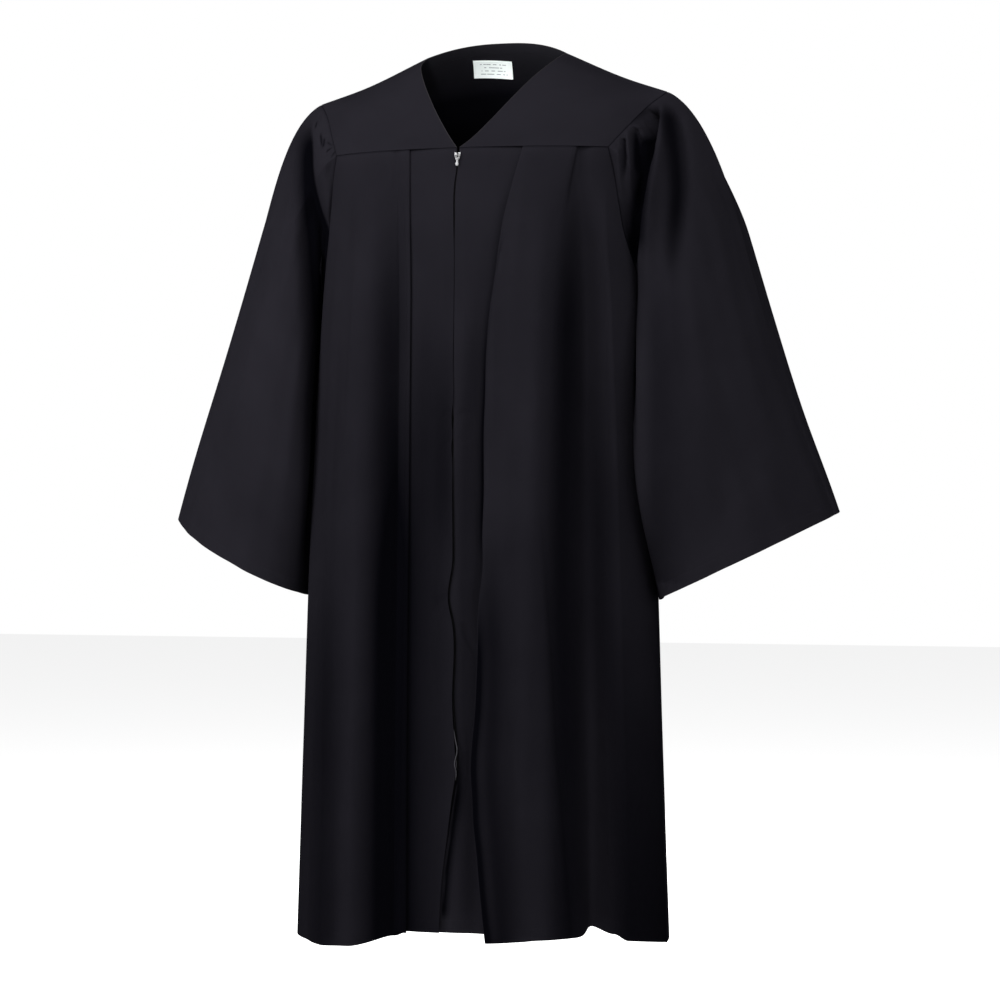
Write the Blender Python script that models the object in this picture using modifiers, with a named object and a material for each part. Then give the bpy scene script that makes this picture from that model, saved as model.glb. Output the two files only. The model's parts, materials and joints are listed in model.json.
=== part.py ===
"""Graduation gown: a yoked, zip-fronted gown with bell sleeves, filled out as it is worn.

Metres, +Z up.  The origin is midway between the two shoulder-neck points, where the gown
hangs on its wearer.  The front faces -Y and the wearer's left is +X.  Every cloth piece is
a wall of one thickness, lofted over the form of the gown, and stops short of its seams.
"""
import math
from collections import namedtuple

import bmesh
import bpy
import numpy as np

# ---- driving sizes -------------------------------------------------------------------
WALL = 0.0012            # thickness of the gown cloth
TAPE_WALL = 0.0010       # thickness of the zip tapes and the neck label
GAP = 0.0003             # left open between two pieces
HALF_GAP = GAP / 2

YOKE_SEAM_Z = -0.150     # the seam between yokes and skirts, level all round
ZIP_END_Z = -1.030       # below this the front is open
ROUND_STEPS = 180        # steps used to measure the distance round a quarter of a section
EDGE_ANGLE = math.radians(50)    # a sharper turn than this is a crisp edge

YOKE_CORNER = 6          # places along the armhole, counted from the shoulder to the front
UNDERARM = 14
BACK_CORNER = 22
ARMHOLE_STEPS = 28

# ---- tables --------------------------------------------------------------------------
Section = namedtuple("Section", "height half_width front_depth back_depth centre_y")
BODY = (
    Section(-0.150, 0.232, 0.107, 0.142, -0.065),
    Section(-0.270, 0.232, 0.124, 0.152, -0.065),
    Section(-0.340, 0.238, 0.128, 0.155, -0.065),
    Section(-0.450, 0.245, 0.134, 0.157, -0.066),
    Section(-0.690, 0.257, 0.143, 0.160, -0.068),
    Section(-0.990, 0.267, 0.149, 0.166, -0.070),
    Section(-1.280, 0.277, 0.153, 0.172, -0.070),
)

# Levels at which the folds are set out.
LEVELS = (-0.150, -0.300, -0.550, -0.950, -1.270)

# A pleat: where its folded edge lies round from the front, how far the cloth under it
# reaches, how proud the folded edge is, and how deep the strip beside the zip lies.
Pleat = namedtuple("Pleat", "edge reach proud strip hem_edge hem_strip")
PLEATS = {
    "left": Pleat(edge=(0.092, 0.061, 0.047, 0.042, 0.058),
                  reach=(0.030, 0.034, 0.036, 0.040, 0.034),
                  proud=(0.0005, 0.003, 0.004, 0.004, 0.005),
                  strip=(-0.0045, -0.012, -0.020, -0.026, -0.030),
                  hem_edge=-1.266, hem_strip=-1.257),
    "right": Pleat(edge=(0.076, 0.073, 0.072, 0.072, 0.072),
                   reach=(0.022, 0.020, 0.020, 0.020, 0.022),
                   proud=(0.0005, -0.006, -0.012, -0.015, -0.017),
                   strip=(-0.0045, -0.012, -0.018, -0.021, -0.023),
                   hem_edge=-1.259, hem_strip=-1.257),
}
LAYER = 0.0026           # from one layer of a pressed pleat to the next
FOLD_ROUND = 0.0030      # how far before its end a folded layer starts to turn
BESIDE_TAPE = 0.0020     # flat cloth past the edge of a zip tape
STRIP_RAMP = 0.018       # how far before the pleat the strip reaches its depth

# A soft fold: how far round it runs from the front, and how far out from the section.
Fold = namedtuple("Fold", "name round out hem")
FRONT_FOLDS = {
    "left": (
        Fold("crest", (0.160, 0.148, 0.138, 0.155, 0.182),
             (0.000, 0.008, 0.013, 0.014, 0.016), -1.256),
        Fold("valley", (0.172, 0.190, 0.203, 0.206, 0.214),
             (-0.001, -0.015, -0.024, -0.027, -0.032), -1.246),
        Fold("rise to the side", (0.192, 0.212, 0.226, 0.234, 0.244),
             (0.000, -0.006, -0.010, -0.011, -0.013), -1.256),
    ),
    "right": (
        Fold("valley", (0.094, 0.094, 0.096, 0.096, 0.098),
             (-0.001, -0.014, -0.022, -0.025, -0.027), -1.265),
        Fold("crest", (0.135, 0.138, 0.142, 0.146, 0.150),
             (0.001, 0.008, 0.013, 0.014, 0.014), -1.279),
        Fold("fall to the side", (0.170, 0.185, 0.200, 0.208, 0.215),
             (0.000, 0.003, 0.005, 0.005, 0.005), -1.284),
    ),
}

# Edges of the fronts along the zip and the slit below it, as places across the gown.
Opening = namedtuple("Opening", "height right left")
OPENING = (
    Opening(-0.150, -0.0026, 0.0026),
    Opening(-0.700, -0.0026, 0.0026),
    Opening(-0.940, -0.0020, 0.0032),
    Opening(-0.995, 0.0010, 0.0100),
    Opening(-1.030, 0.0050, 0.0096),
    Opening(-1.070, -0.0010, 0.0030),
    Opening(-1.120, -0.0085, -0.0050),
    Opening(-1.190, -0.0180, -0.0140),
    Opening(-1.260, -0.0215, -0.0165),
)
TAPE_WIDTH = 0.014       # of one zip tape, from the chain outward
CHAIN_HALF = 0.0016      # from the middle of the zip to a tape's edge

# Flutes across the back, from its middle to the side, each shallower towards the yoke.
Flute = namedtuple("Flute", "name turn out hem")
BACK_FLUTES = (
    Flute("middle", (180, 180, 180, 180, 180), (0.001, 0.006, 0.012, 0.014, 0.016), -1.227),
    Flute("first valley", (170, 169, 168, 167, 166), (-0.001, -0.010, -0.018, -0.022, -0.026), -1.226),
    Flute("first crest", (159, 157, 155, 154, 153), (0.001, 0.004, 0.009, 0.012, 0.013), -1.230),
    Flute("second valley", (149, 146, 143, 142, 141), (-0.001, -0.009, -0.015, -0.018, -0.021), -1.234),
    Flute("second crest", (138, 134, 131, 130, 129), (0.001, 0.003, 0.007, 0.009, 0.010), -1.243),
    Flute("side hollow", (128, 124, 120, 119, 118), (0.000, -0.003, -0.007, -0.009, -0.010), -1.254),
)
SIDE_SEAM_HEM = {"left": -1.274, "right": -1.276}

# The armhole: a curve over the shoulder, then down the form of the gown to the underarm.
Over = namedtuple("Over", "place x y z")
OVER_FRONT = (
    Over(0, 0.264, -0.020, -0.064),
    Over(2, 0.244, -0.048, -0.086),
    Over(4, 0.222, -0.086, -0.120),
)
OVER_BACK = (
    Over(24, 0.222, -0.008, -0.120),
    Over(26, 0.246, -0.002, -0.086),
    Over(28, 0.264, -0.020, -0.064),
)
Down = namedtuple("Down", "place turn height")
DOWN = (
    Down(6, 61.5, YOKE_SEAM_Z),
    Down(8, 65.5, -0.184),
    Down(10, 69.5, -0.228),
    Down(12, 76.0, -0.286),
    Down(14, 90.0, -0.340),
    Down(16, 104.0, -0.286),
    Down(18, 110.5, -0.228),
    Down(20, 114.5, -0.184),
    Down(22, 118.5, YOKE_SEAM_Z),
)

# Neck edge: down each front to the zip, and round the back.
Point = namedtuple("Point", "along x y z")
FRONT_NECK = (
    Point(0.00, 0.1070, 0.000, 0.000),
    Point(0.20, 0.1000, -0.046, -0.018),
    Point(0.38, 0.0820, -0.085, -0.045),
    Point(0.56, 0.0610, -0.114, -0.076),
    Point(0.74, 0.0390, -0.137, -0.107),
    Point(0.90, 0.0160, -0.158, -0.136),
    Point(1.00, 0.0026, -0.172, -0.150),
)
BACK_NECK_RISE = 0.0225
BACK_NECK_Y = 0.036
BACK_NECK_SQUARENESS = 2.4
NECK_POINT = (0.107, 0.0, 0.0)
SHOULDER_MIDDLE = (0.200, -0.008, -0.0415)
SHOULDER_MIDDLE_SHARE = 0.59     # of the way from the neck point to the armhole
BACK_YOKE_FULLNESS = 0.002
FRONT_YOKE_FULLNESS = 0.006

# Cross sections of a sleeve below the armhole, wide from the front inward to the back.
Tube = namedtuple("Tube", "along x y z long short turn slope lean")
SLEEVE = (
    Tube(0.30, 0.299, -0.020, -0.325, 0.100, 0.061, 60.0, 0.80, 0.00),
    Tube(0.50, 0.321, -0.033, -0.440, 0.122, 0.068, 57.0, 0.62, -0.05),
    Tube(0.75, 0.348, -0.037, -0.585, 0.138, 0.079, 49.0, 0.52, -0.12),
    Tube(1.00, 0.382, -0.012, -0.729, 0.137, 0.094, 39.0, 0.46, 0.04),
)
# How the sleeve leaves the armhole: onward over the edge, out from the body, and down.
# Shares of the way from the armhole to the first cross section.
Leave = namedtuple("Leave", "place onward outward down")
LEAVING = (
    Leave(0, 0.88, 0.00, 0.00),
    Leave(3, 0.62, 0.32, 0.10),
    Leave(6, 0.25, 0.60, 0.25),
    Leave(10, 0.25, 0.70, 0.10),
    Leave(14, 0.45, 1.20, 0.00),
    Leave(18, 0.25, 0.75, 0.10),
    Leave(22, 0.25, 0.60, 0.25),
    Leave(25, 0.62, 0.30, 0.15),
    Leave(28, 0.88, 0.00, 0.00),
)
# Angle round the sleeve, from its outer side to the front, at places along the armhole.
TUBE_PLACES = (0, YOKE_CORNER, UNDERARM, BACK_CORNER, ARMHOLE_STEPS)
TUBE_ANGLES = (0.0, 72.0, 180.0, 288.0, 360.0)
ARRIVE = 0.9             # pull of the sleeve's form where the curve from the armhole meets it
SLEEVE_CLEAR = 0.007     # from the form of the body to the middle of a sleeve's wall
CLEAR_SOFTNESS = 0.006
CLEAR_BY = 0.06          # how far along the sleeve it is wholly clear

# Soft folds that run down a sleeve: their place round it, breadth and depth on the way.
CREASE_LEVELS = (0.0, 0.3, 0.65, 1.0)
Crease = namedtuple("Crease", "place breadth cap upper lower cuff")
SLEEVE_CREASES = {
    "left": (
        Crease(2.6, 1.1, 0.000, -0.010, -0.002, 0.000),
        Crease(5.0, 1.5, 0.000, 0.008, 0.003, 0.000),
        Crease(20.0, 2.0, 0.000, -0.008, -0.006, -0.006),
    ),
    "right": (
        Crease(2.6, 1.1, 0.000, -0.010, -0.002, 0.000),
        Crease(5.0, 1.5, 0.000, 0.008, 0.003, 0.000),
        Crease(20.0, 2.0, 0.000, -0.008, -0.006, -0.006),
    ),
}

# Slider and pull of the zip.
SLIDER_Z = -0.1625       # middle of the slider
SLIDER_WIDTH = 0.0086
SLIDER_HEIGHT = 0.0100
SLIDER_PLATE = 0.0011
SLIDER_CORNER = 0.0012
SLIDER_POST_WIDTH = 0.0022
SLIDER_POST_HEIGHT = 0.0040
SLIDER_POST_UP = 0.0028  # middle of the post above the middle of the slider
PULL_LENGTH = 0.0165
PULL_WIDTH = 0.0056
PULL_THICKNESS = 0.0012

# ---- finish of each material ---------------------------------------------------------
Finish = namedtuple("Finish", "colour roughness metallic")
GOWN_CLOTH = Finish((0.019, 0.017, 0.022), 0.62, 0.0)
ZIP_CLOTH = Finish((0.012, 0.011, 0.014), 0.75, 0.0)
ZIP_METAL = Finish((0.62, 0.62, 0.63), 0.28, 1.0)
LABEL_CLOTH = Finish((0.72, 0.78, 0.76), 0.60, 0.0)


# ---- curves --------------------------------------------------------------------------
def follow(places, values, wanted):
    """Smooth curve through the values at their places, read at the wanted places."""
    places = np.asarray(places, float)
    values = np.asarray(values, float)
    wanted = np.clip(np.asarray(wanted, float), min(places[0], places[-1]), max(places[0], places[-1]))
    if places[0] > places[-1]:
        places = places[::-1]
        values = values[::-1]
    runs = np.diff(places)
    steps = (np.diff(values, axis=0).T / runs).T
    slopes = np.empty_like(values)
    slopes[0] = steps[0]
    slopes[-1] = steps[-1]
    for i in range(1, len(places) - 1):
        share = runs[i - 1] / (runs[i - 1] + runs[i])
        slopes[i] = steps[i - 1] * (1 - share) + steps[i] * share
    i = np.clip(np.searchsorted(places, wanted, side="right") - 1, 0, len(runs) - 1)
    run = runs[i]
    t = (wanted - places[i]) / run
    return (values[i].T * (1 + 2 * t) * (1 - t) ** 2 + slopes[i].T * run * t * (1 - t) ** 2
            + values[i + 1].T * t * t * (3 - 2 * t) + slopes[i + 1].T * run * t * t * (t - 1)).T


def thread(knots, segment, part):
    """Point a part of the way along one segment of a smooth curve through the knots."""
    before = knots[segment - 1] if segment > 0 else 2 * knots[0] - knots[1]
    start = knots[segment]
    end = knots[segment + 1]
    after = knots[segment + 2] if segment + 2 < len(knots) else 2 * knots[-1] - knots[-2]
    first = max(np.linalg.norm(start - before), 1e-9) ** 0.5
    middle = max(np.linalg.norm(end - start), 1e-9) ** 0.5
    last = max(np.linalg.norm(after - end), 1e-9) ** 0.5
    leave = (start - before) / first - (end - before) / (first + middle) + (end - start) / middle
    arrive = (end - start) / middle - (after - start) / (middle + last) + (after - end) / last
    t = part
    return (start * (1 + 2 * t) * (1 - t) ** 2 + leave * middle * t * (1 - t) ** 2
            + end * t * t * (3 - 2 * t) + arrive * middle * t * t * (t - 1))


def eased(part):
    """A share of the way that starts and ends gently."""
    return part * part * (3 - 2 * part)


def unit(vectors):
    """The vectors, each of length one."""
    vectors = np.asarray(vectors, float)
    return vectors / np.linalg.norm(vectors, axis=-1, keepdims=True)


# ---- form of the gown below the yokes ------------------------------------------------
def body_size(height, column):
    """One size of the body section at a height."""
    heights = [row.height for row in BODY]
    return float(follow(heights, [getattr(row, column) for row in BODY], height))


def skin(side, turn, height, out=0.0):
    """Point on the form, a turn in degrees from the front, moved out from its section."""
    width = body_size(height, "half_width")
    depth = body_size(height, "front_depth" if abs(turn) < 90 else "back_depth")
    angle = math.radians(turn)
    normal = skin_normal(side, turn, height)
    point = np.array((side * width * math.sin(angle),
                      body_size(height, "centre_y") - depth * math.cos(angle), height))
    return point + normal * out


def skin_normal(side, turn, height):
    """Level direction straight out from the form."""
    width = body_size(height, "half_width")
    depth = body_size(height, "front_depth" if abs(turn) < 90 else "back_depth")
    angle = math.radians(turn)
    return unit((side * math.sin(angle) / width, -math.cos(angle) / depth, 0.0))


def turn_at(distance, height):
    """Turn reached by going a distance round the front section from its middle."""
    width = body_size(height, "half_width")
    depth = body_size(height, "front_depth")
    angles = np.linspace(0.0, math.pi / 2, ROUND_STEPS + 1)
    middles = (angles[1:] + angles[:-1]) / 2
    lengths = np.hypot(width * np.cos(middles), depth * np.sin(middles)) * np.diff(angles)
    reached = np.concatenate(([0.0], np.cumsum(lengths)))
    return math.copysign(math.degrees(np.interp(abs(distance), reached, angles)), distance)


def distance_at(turn, height):
    """Distance round the front section from its middle to a turn."""
    width = body_size(height, "half_width")
    depth = body_size(height, "front_depth")
    angles = np.linspace(0.0, math.radians(turn), ROUND_STEPS + 1)
    middles = (angles[1:] + angles[:-1]) / 2
    return float(np.sum(np.hypot(width * np.cos(middles), depth * np.sin(middles)) * np.diff(angles)))


# ---- fronts --------------------------------------------------------------------------
def front_edge(name, height):
    """Distance round from the middle to the edge of a front."""
    heights = [row.height for row in OPENING]
    edge = float(follow(heights, [getattr(row, name) for row in OPENING], height))
    return edge if name == "left" else -edge


def front_knots(name, height):
    """Section of one front from its zip edge to its side seam, as distance round and out."""
    pleat = PLEATS[name]
    level = {field: float(follow(LEVELS, getattr(pleat, field), height))
             for field in ("edge", "reach", "proud", "strip")}
    start = front_edge(name, height)
    tip = level["edge"]
    root = level["edge"] + level["reach"]
    top = level["proud"]
    bottom = min(level["strip"], top - 2 * LAYER)
    pressed = float(follow(LEVELS, (0.0, 1.0, 1.0, 1.0, 1.0), height))
    at_zip = bottom * min(1.0, max(0.0, pressed))
    knots = [
        (start, at_zip),
        (start + TAPE_WIDTH + BESIDE_TAPE, at_zip),
        (tip - STRIP_RAMP, (at_zip + bottom) / 2),
        (root - FOLD_ROUND, bottom),
        (root, bottom + LAYER / 2),
        (root - FOLD_ROUND, bottom + LAYER),
        (tip + FOLD_ROUND, top - LAYER),
        (tip, top - LAYER / 2),
        (tip + FOLD_ROUND, top),
    ]
    for fold in FRONT_FOLDS[name]:
        knots.append((float(follow(LEVELS, fold.round, height)), float(follow(LEVELS, fold.out, height))))
    corner = distance_at(DOWN[0].turn, height)
    knots.append((corner, 0.0))
    knots.append((distance_at(90.0, height), 0.0))
    return np.array(knots)


def front_hems(name):
    """Height of the hem at each knot of a front."""
    pleat = PLEATS[name]
    hems = [pleat.hem_strip] * 4 + [(pleat.hem_strip + pleat.hem_edge) / 2] * 2 + [pleat.hem_edge] * 3
    hems += [fold.hem for fold in FRONT_FOLDS[name]]
    hems.append((hems[-1] + SIDE_SEAM_HEM[name]) / 2)
    hems.append(SIDE_SEAM_HEM[name])
    return np.array(hems)


FRONT_SEGMENTS = (1, 1, 1, 1, 1, 1, 1, 1, 2, 3, 3, 2)      # columns in each stretch of a front
FRONT_ROWS = (0.0, 0.02, 0.06, 0.12, 0.19, 0.28, 0.39, 0.51, 0.63, 0.73, 0.795, 0.86, 0.93, 1.0)
ZIP_END_ROW = 10         # the row of the fronts where the zip ends


def front_column(name, side, segment, part, rows):
    """One line down a front that starts at the yoke seam."""
    hems = front_hems(name)
    hem = hems[segment] + (hems[segment + 1] - hems[segment]) * eased(part)
    top = YOKE_SEAM_Z - HALF_GAP
    points = []
    for row in rows:
        height = top + (hem - top) * row
        distance, out = thread(front_knots(name, height), segment, part)
        points.append(skin(side, turn_at(distance, height), height, out))
    return points


def side_column(side, place, corner_turn, corner_hem, seam_hem, rows):
    """One line down a panel that starts at the armhole."""
    turn, height = armhole_on_form(place)
    share = (turn - 90.0) / (corner_turn(height) - 90.0)
    hem = seam_hem + (corner_hem - seam_hem) * share
    start = armhole_edge(side, place, 1)
    points = [start]
    for row in rows[1:]:
        level = start[2] + (hem - start[2]) * row
        points.append(skin(side, 90.0 + (corner_turn(level) - 90.0) * share, level))
    return points


def front_corner_turn(height):
    """Turn of the line that runs down a front from the corner of its yoke."""
    return DOWN[0].turn


def front_panel(name, side):
    """Grid of points over one front, rows down and columns from the zip to the side seam."""
    columns = []
    for segment, count in enumerate(FRONT_SEGMENTS):
        for step in range(count):
            columns.append(front_column(name, side, segment, step / count, FRONT_ROWS))
    hems = front_hems(name)
    for place in range(YOKE_CORNER, UNDERARM + 1):
        columns.append(side_column(side, place, front_corner_turn, hems[-2], hems[-1], FRONT_ROWS))
    grid = np.array(columns).transpose(1, 0, 2)
    grid[0, YOKE_CORNER - UNDERARM - 1, 2] = YOKE_SEAM_Z - HALF_GAP
    grid[:, -1, 1] -= HALF_GAP
    return grid


# ---- back ----------------------------------------------------------------------------
METRES_PER_DEGREE = 0.0040
BACK_CORNER_TURNS = (118.5, 116.0, 112.0, 110.0, 110.0)
BACK_SEGMENTS = (3, 3, 3, 3, 3, 3)
BACK_ROWS = (0.0, 0.03, 0.08, 0.15, 0.24, 0.35, 0.48, 0.62, 0.75, 0.88, 1.0)


def back_corner_turn(height):
    """Turn of the line that runs down the back from the corner of its yoke."""
    return float(follow(LEVELS, BACK_CORNER_TURNS, height))


def back_knots(height):
    """Section of half the back, from its corner to just past the middle, as distance and out."""
    knots = [(back_corner_turn(height) * METRES_PER_DEGREE, 0.0)]
    for flute in reversed(BACK_FLUTES):
        knots.append((float(follow(LEVELS, flute.turn, height)) * METRES_PER_DEGREE,
                      float(follow(LEVELS, flute.out, height))))
    past_middle = 2 * knots[-1][0] - knots[-2][0]
    knots.append((past_middle, knots[-2][1]))
    return np.array(knots)


def back_column(side, segment, part, seam_hem):
    """One line down the back that starts at its yoke seam."""
    hems = [(BACK_FLUTES[-1].hem + seam_hem) / 2] + [flute.hem for flute in reversed(BACK_FLUTES)]
    hem = hems[segment] + (hems[segment + 1] - hems[segment]) * eased(part)
    top = YOKE_SEAM_Z - HALF_GAP
    points = []
    for row in BACK_ROWS:
        height = top + (hem - top) * row
        distance, out = thread(back_knots(height), segment, part)
        points.append(skin(side, distance / METRES_PER_DEGREE, height, out))
    return points


def back_half(name, side):
    """Columns over half the back, from its side seam to just short of its middle."""
    seam_hem = SIDE_SEAM_HEM[name]
    corner_hem = (BACK_FLUTES[-1].hem + seam_hem) / 2
    columns = [side_column(side, place, back_corner_turn, corner_hem, seam_hem, BACK_ROWS)
               for place in range(UNDERARM, BACK_CORNER)]
    for segment, count in enumerate(BACK_SEGMENTS):
        for step in range(count):
            columns.append(back_column(side, segment, step / count, seam_hem))
    return columns


def back_panel():
    """Grid of points over the back, from the left side seam round to the right one."""
    left = back_half("left", 1)
    right = back_half("right", -1)
    middle = back_column(1, len(BACK_SEGMENTS) - 1, 1.0, SIDE_SEAM_HEM["left"])
    grid = np.array(left + [middle] + right[::-1]).transpose(1, 0, 2)
    corner = BACK_CORNER - UNDERARM
    for column, side in ((corner, 1), (-1 - corner, -1)):
        grid[0, column] = armhole_edge(side, BACK_CORNER, 1)
        grid[0, column, 2] = YOKE_SEAM_Z - HALF_GAP
    grid[:, 0, 1] += HALF_GAP
    grid[:, -1, 1] += HALF_GAP
    return grid


# ---- armhole -------------------------------------------------------------------------
def armhole_on_form(place):
    """Turn and height of a place on the armhole below the yokes."""
    places = [row.place for row in DOWN]
    return (float(follow(places, [row.turn for row in DOWN], place)),
            float(follow(places, [row.height for row in DOWN], place)))


def armhole(side, place):
    """Point on the armhole seam."""
    place = place % ARMHOLE_STEPS
    if YOKE_CORNER <= place <= BACK_CORNER:
        return skin(side, *armhole_on_form(place))
    rows = OVER_FRONT if place < YOKE_CORNER else OVER_BACK
    points = [(row.x, row.y, row.z) for row in rows]
    places = [row.place for row in rows]
    if place < YOKE_CORNER:
        places = places + [YOKE_CORNER]
        points = points + [tuple(skin(1, *armhole_on_form(YOKE_CORNER)))]
    else:
        places = [BACK_CORNER] + places
        points = [tuple(skin(1, *armhole_on_form(BACK_CORNER)))] + points
    return follow(places, points, place) * np.array((side, 1, 1))


SHOULDER_NORMAL = (0.36, 0.0, 0.93)


def armhole_normal(side, place):
    """Direction straight out of the body pieces at a place on the armhole."""
    place = place % ARMHOLE_STEPS
    if YOKE_CORNER <= place <= BACK_CORNER:
        turn, height = armhole_on_form(place)
        return skin_normal(side, turn, height)
    corner = YOKE_CORNER if place < YOKE_CORNER else BACK_CORNER
    share = min(place, ARMHOLE_STEPS - place) / YOKE_CORNER
    low = skin_normal(side, *armhole_on_form(corner))
    high = np.array(SHOULDER_NORMAL) * (side, 1, 1)
    return unit(low * share + high * (1 - share))


def armhole_inward(side, place):
    """Direction along the body pieces, away from the armhole."""
    tangent = armhole(side, place + 0.25) - armhole(side, place - 0.25)
    return unit(np.cross(tangent, armhole_normal(side, place)) * side)


def armhole_edge(side, place, toward_body):
    """Edge of a piece at the armhole: of the body pieces (1) or of the sleeve (-1)."""
    return armhole(side, place) + armhole_inward(side, place) * HALF_GAP * toward_body


# ---- yokes ---------------------------------------------------------------------------
def patch(top, bottom, first, last):
    """Grid of points between four edges that meet at their corners."""
    across = np.linspace(0.0, 1.0, len(top))[None, :, None]
    down = np.linspace(0.0, 1.0, len(first))[:, None, None]
    corners = ((1 - down) * ((1 - across) * top[0] + across * top[-1])
               + down * ((1 - across) * bottom[0] + across * bottom[-1]))
    return ((1 - down) * top[None] + down * bottom[None]
            + (1 - across) * first[:, None] + across * last[:, None] - corners)


def shoulder(share):
    """Point on the left shoulder seam, a share of the way from the neck to the armhole."""
    end = (OVER_FRONT[0].x, OVER_FRONT[0].y, OVER_FRONT[0].z)
    return follow((0.0, SHOULDER_MIDDLE_SHARE, 1.0), (NECK_POINT, SHOULDER_MIDDLE, end), share)


def front_yoke(side):
    """Grid over a front yoke: rows from the shoulder to the seam, columns from the neck out."""
    count = YOKE_CORNER
    shares = np.linspace(0.0, 1.0, count + 1)
    mirror = np.array((side, 1, 1))
    top = np.array([shoulder(share) for share in shares]) * mirror
    tip = front_edge("left", YOKE_SEAM_Z)
    reach = distance_at(DOWN[0].turn, YOKE_SEAM_Z) - tip
    turns = [turn_at(tip + reach * share, YOKE_SEAM_Z) for share in shares]
    bottom = np.array([skin(side, turn, YOKE_SEAM_Z) for turn in turns])
    along = [row.along for row in FRONT_NECK]
    neck = follow(along, [(row.x, row.y, row.z) for row in FRONT_NECK], shares) * mirror
    arm = np.array([armhole_edge(side, place, 1) for place in range(count + 1)])
    neck[0] = top[0]
    neck[-1] = bottom[0]
    grid = patch(top, bottom, neck, arm)
    swell = np.sin(np.pi * shares)[:, None] * np.sin(np.pi * shares)[None, :]
    grid += (swell * FRONT_YOKE_FULLNESS)[..., None] * unit((0.0, -0.8, 0.6))
    grid[0, :, 1] -= HALF_GAP
    grid[-1, :, 2] = YOKE_SEAM_Z + HALF_GAP
    return grid


LABEL_RIGHT_X = -0.0545
LABEL_LEFT_X = 0.0035
NECK_COLUMNS = (0.080, 0.045, LABEL_LEFT_X, -0.0255, LABEL_RIGHT_X, -0.082)
LABEL_ROWS = (1, 2)      # rows of the back yoke at the top and bottom of the label


def back_neck(place):
    """Point on the neck edge of the back, at a place across."""
    share = abs(place) / NECK_POINT[0]
    return (place, BACK_NECK_Y * (1 - share ** 2), BACK_NECK_RISE * (1 - share ** BACK_NECK_SQUARENESS))


def back_yoke():
    """Grid over the back yoke: rows down, columns from the left armhole to the right one."""
    shares = np.linspace(1.0, 0.0, YOKE_CORNER + 1)
    left = [tuple(shoulder(share)) for share in shares]
    right = [(-x, y, z) for x, y, z in left[::-1]]
    top = np.array(left + [back_neck(place) for place in NECK_COLUMNS] + right)
    corner = skin(1, DOWN[-1].turn, YOKE_SEAM_Z)[0] / body_size(YOKE_SEAM_Z, "half_width")
    turns = [180.0 - math.degrees(math.asin(abs(x) / top[0, 0] * corner)) for x in top[:, 0]]
    bottom = np.array([skin(1 if x > 0 else -1, turn, YOKE_SEAM_Z) for x, turn in zip(top[:, 0], turns)])
    places = [ARMHOLE_STEPS - step for step in range(YOKE_CORNER + 1)]
    first = np.array([armhole_edge(1, place, 1) for place in places])
    last = np.array([armhole_edge(-1, place, 1) for place in places])
    first[0] = top[0]
    last[0] = top[-1]
    grid = patch(top, bottom, first, last)
    down = np.linspace(0.0, 1.0, YOKE_CORNER + 1)
    across = np.sqrt(1 - np.abs(top[:, 0]) / top[0, 0])
    grid[..., 1] += BACK_YOKE_FULLNESS * np.sin(np.pi * down)[:, None] * across[None, :]
    grid[0, :YOKE_CORNER + 1, 1] += HALF_GAP
    grid[0, -YOKE_CORNER - 1:, 1] += HALF_GAP
    grid[-1, :, 2] = YOKE_SEAM_Z + HALF_GAP
    return grid


# ---- sleeves -------------------------------------------------------------------------
def tube_point(side, along, angle):
    """Point on the sleeve's form below the armhole, at an angle from its outer side."""
    sizes = follow([row.along for row in SLEEVE], SLEEVE, along)
    size = dict(zip(Tube._fields, sizes))
    turn = math.radians(size["turn"])
    long_way = np.array((math.cos(turn), math.sin(turn)))
    short_way = np.array((math.sin(turn), -math.cos(turn)))
    way = np.array((math.cos(angle), -math.sin(angle)))
    offset = size["long"] * way.dot(long_way) * long_way + size["short"] * way.dot(short_way) * short_way
    return np.array((side * (size["x"] + offset[0]), size["y"] + offset[1],
                     size["z"] + size["slope"] * offset[0] + size["lean"] * offset[1]))


def sleeve_point(side, along, place):
    """Point on the sleeve's form before its folds."""
    angle = math.radians(float(follow(TUBE_PLACES, TUBE_ANGLES, place)))
    first = SLEEVE[0].along
    if along >= first:
        return tube_point(side, along, angle)
    start = armhole_edge(side, place, -1)
    end = tube_point(side, first, angle)
    chord = np.linalg.norm(end - start)
    onward, outward, down = follow([row.place for row in LEAVING], [row[1:] for row in LEAVING], place)
    leave = (armhole_inward(side, place) * -onward + armhole_normal(side, place) * outward
             + np.array((0.0, 0.0, -down))) * chord
    arrive = unit(tube_point(side, first + 0.01, angle) - end) * chord * ARRIVE
    t = along / first
    return (start * (1 + 2 * t) * (1 - t) ** 2 + leave * t * (1 - t) ** 2
            + end * t * t * (3 - 2 * t) + arrive * t * t * (t - 1))


def clear_of_body(side, point, along):
    """The point, eased outward where it would touch the body."""
    height = max(point[2], BODY[-1].height)
    if height > YOKE_SEAM_Z:
        return point
    share = eased(min(1.0, along / CLEAR_BY))
    away = point[1] - body_size(height, "centre_y")
    depth = body_size(height, "back_depth" if away > 0 else "front_depth")
    if abs(away) >= depth:
        return point
    wall = body_size(height, "half_width") * math.sqrt(1 - (away / depth) ** 2) + SLEEVE_CLEAR
    excess = side * point[0] - wall
    pushed = 0.5 * (excess + math.hypot(excess, CLEAR_SOFTNESS))
    return point + np.array((side * (pushed - excess) * share, 0.0, 0.0))


SLEEVE_ROWS = (0.0, 0.05, 0.11, 0.18, 0.26, 0.36, 0.47, 0.60, 0.74, 0.87, 1.0)


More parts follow.
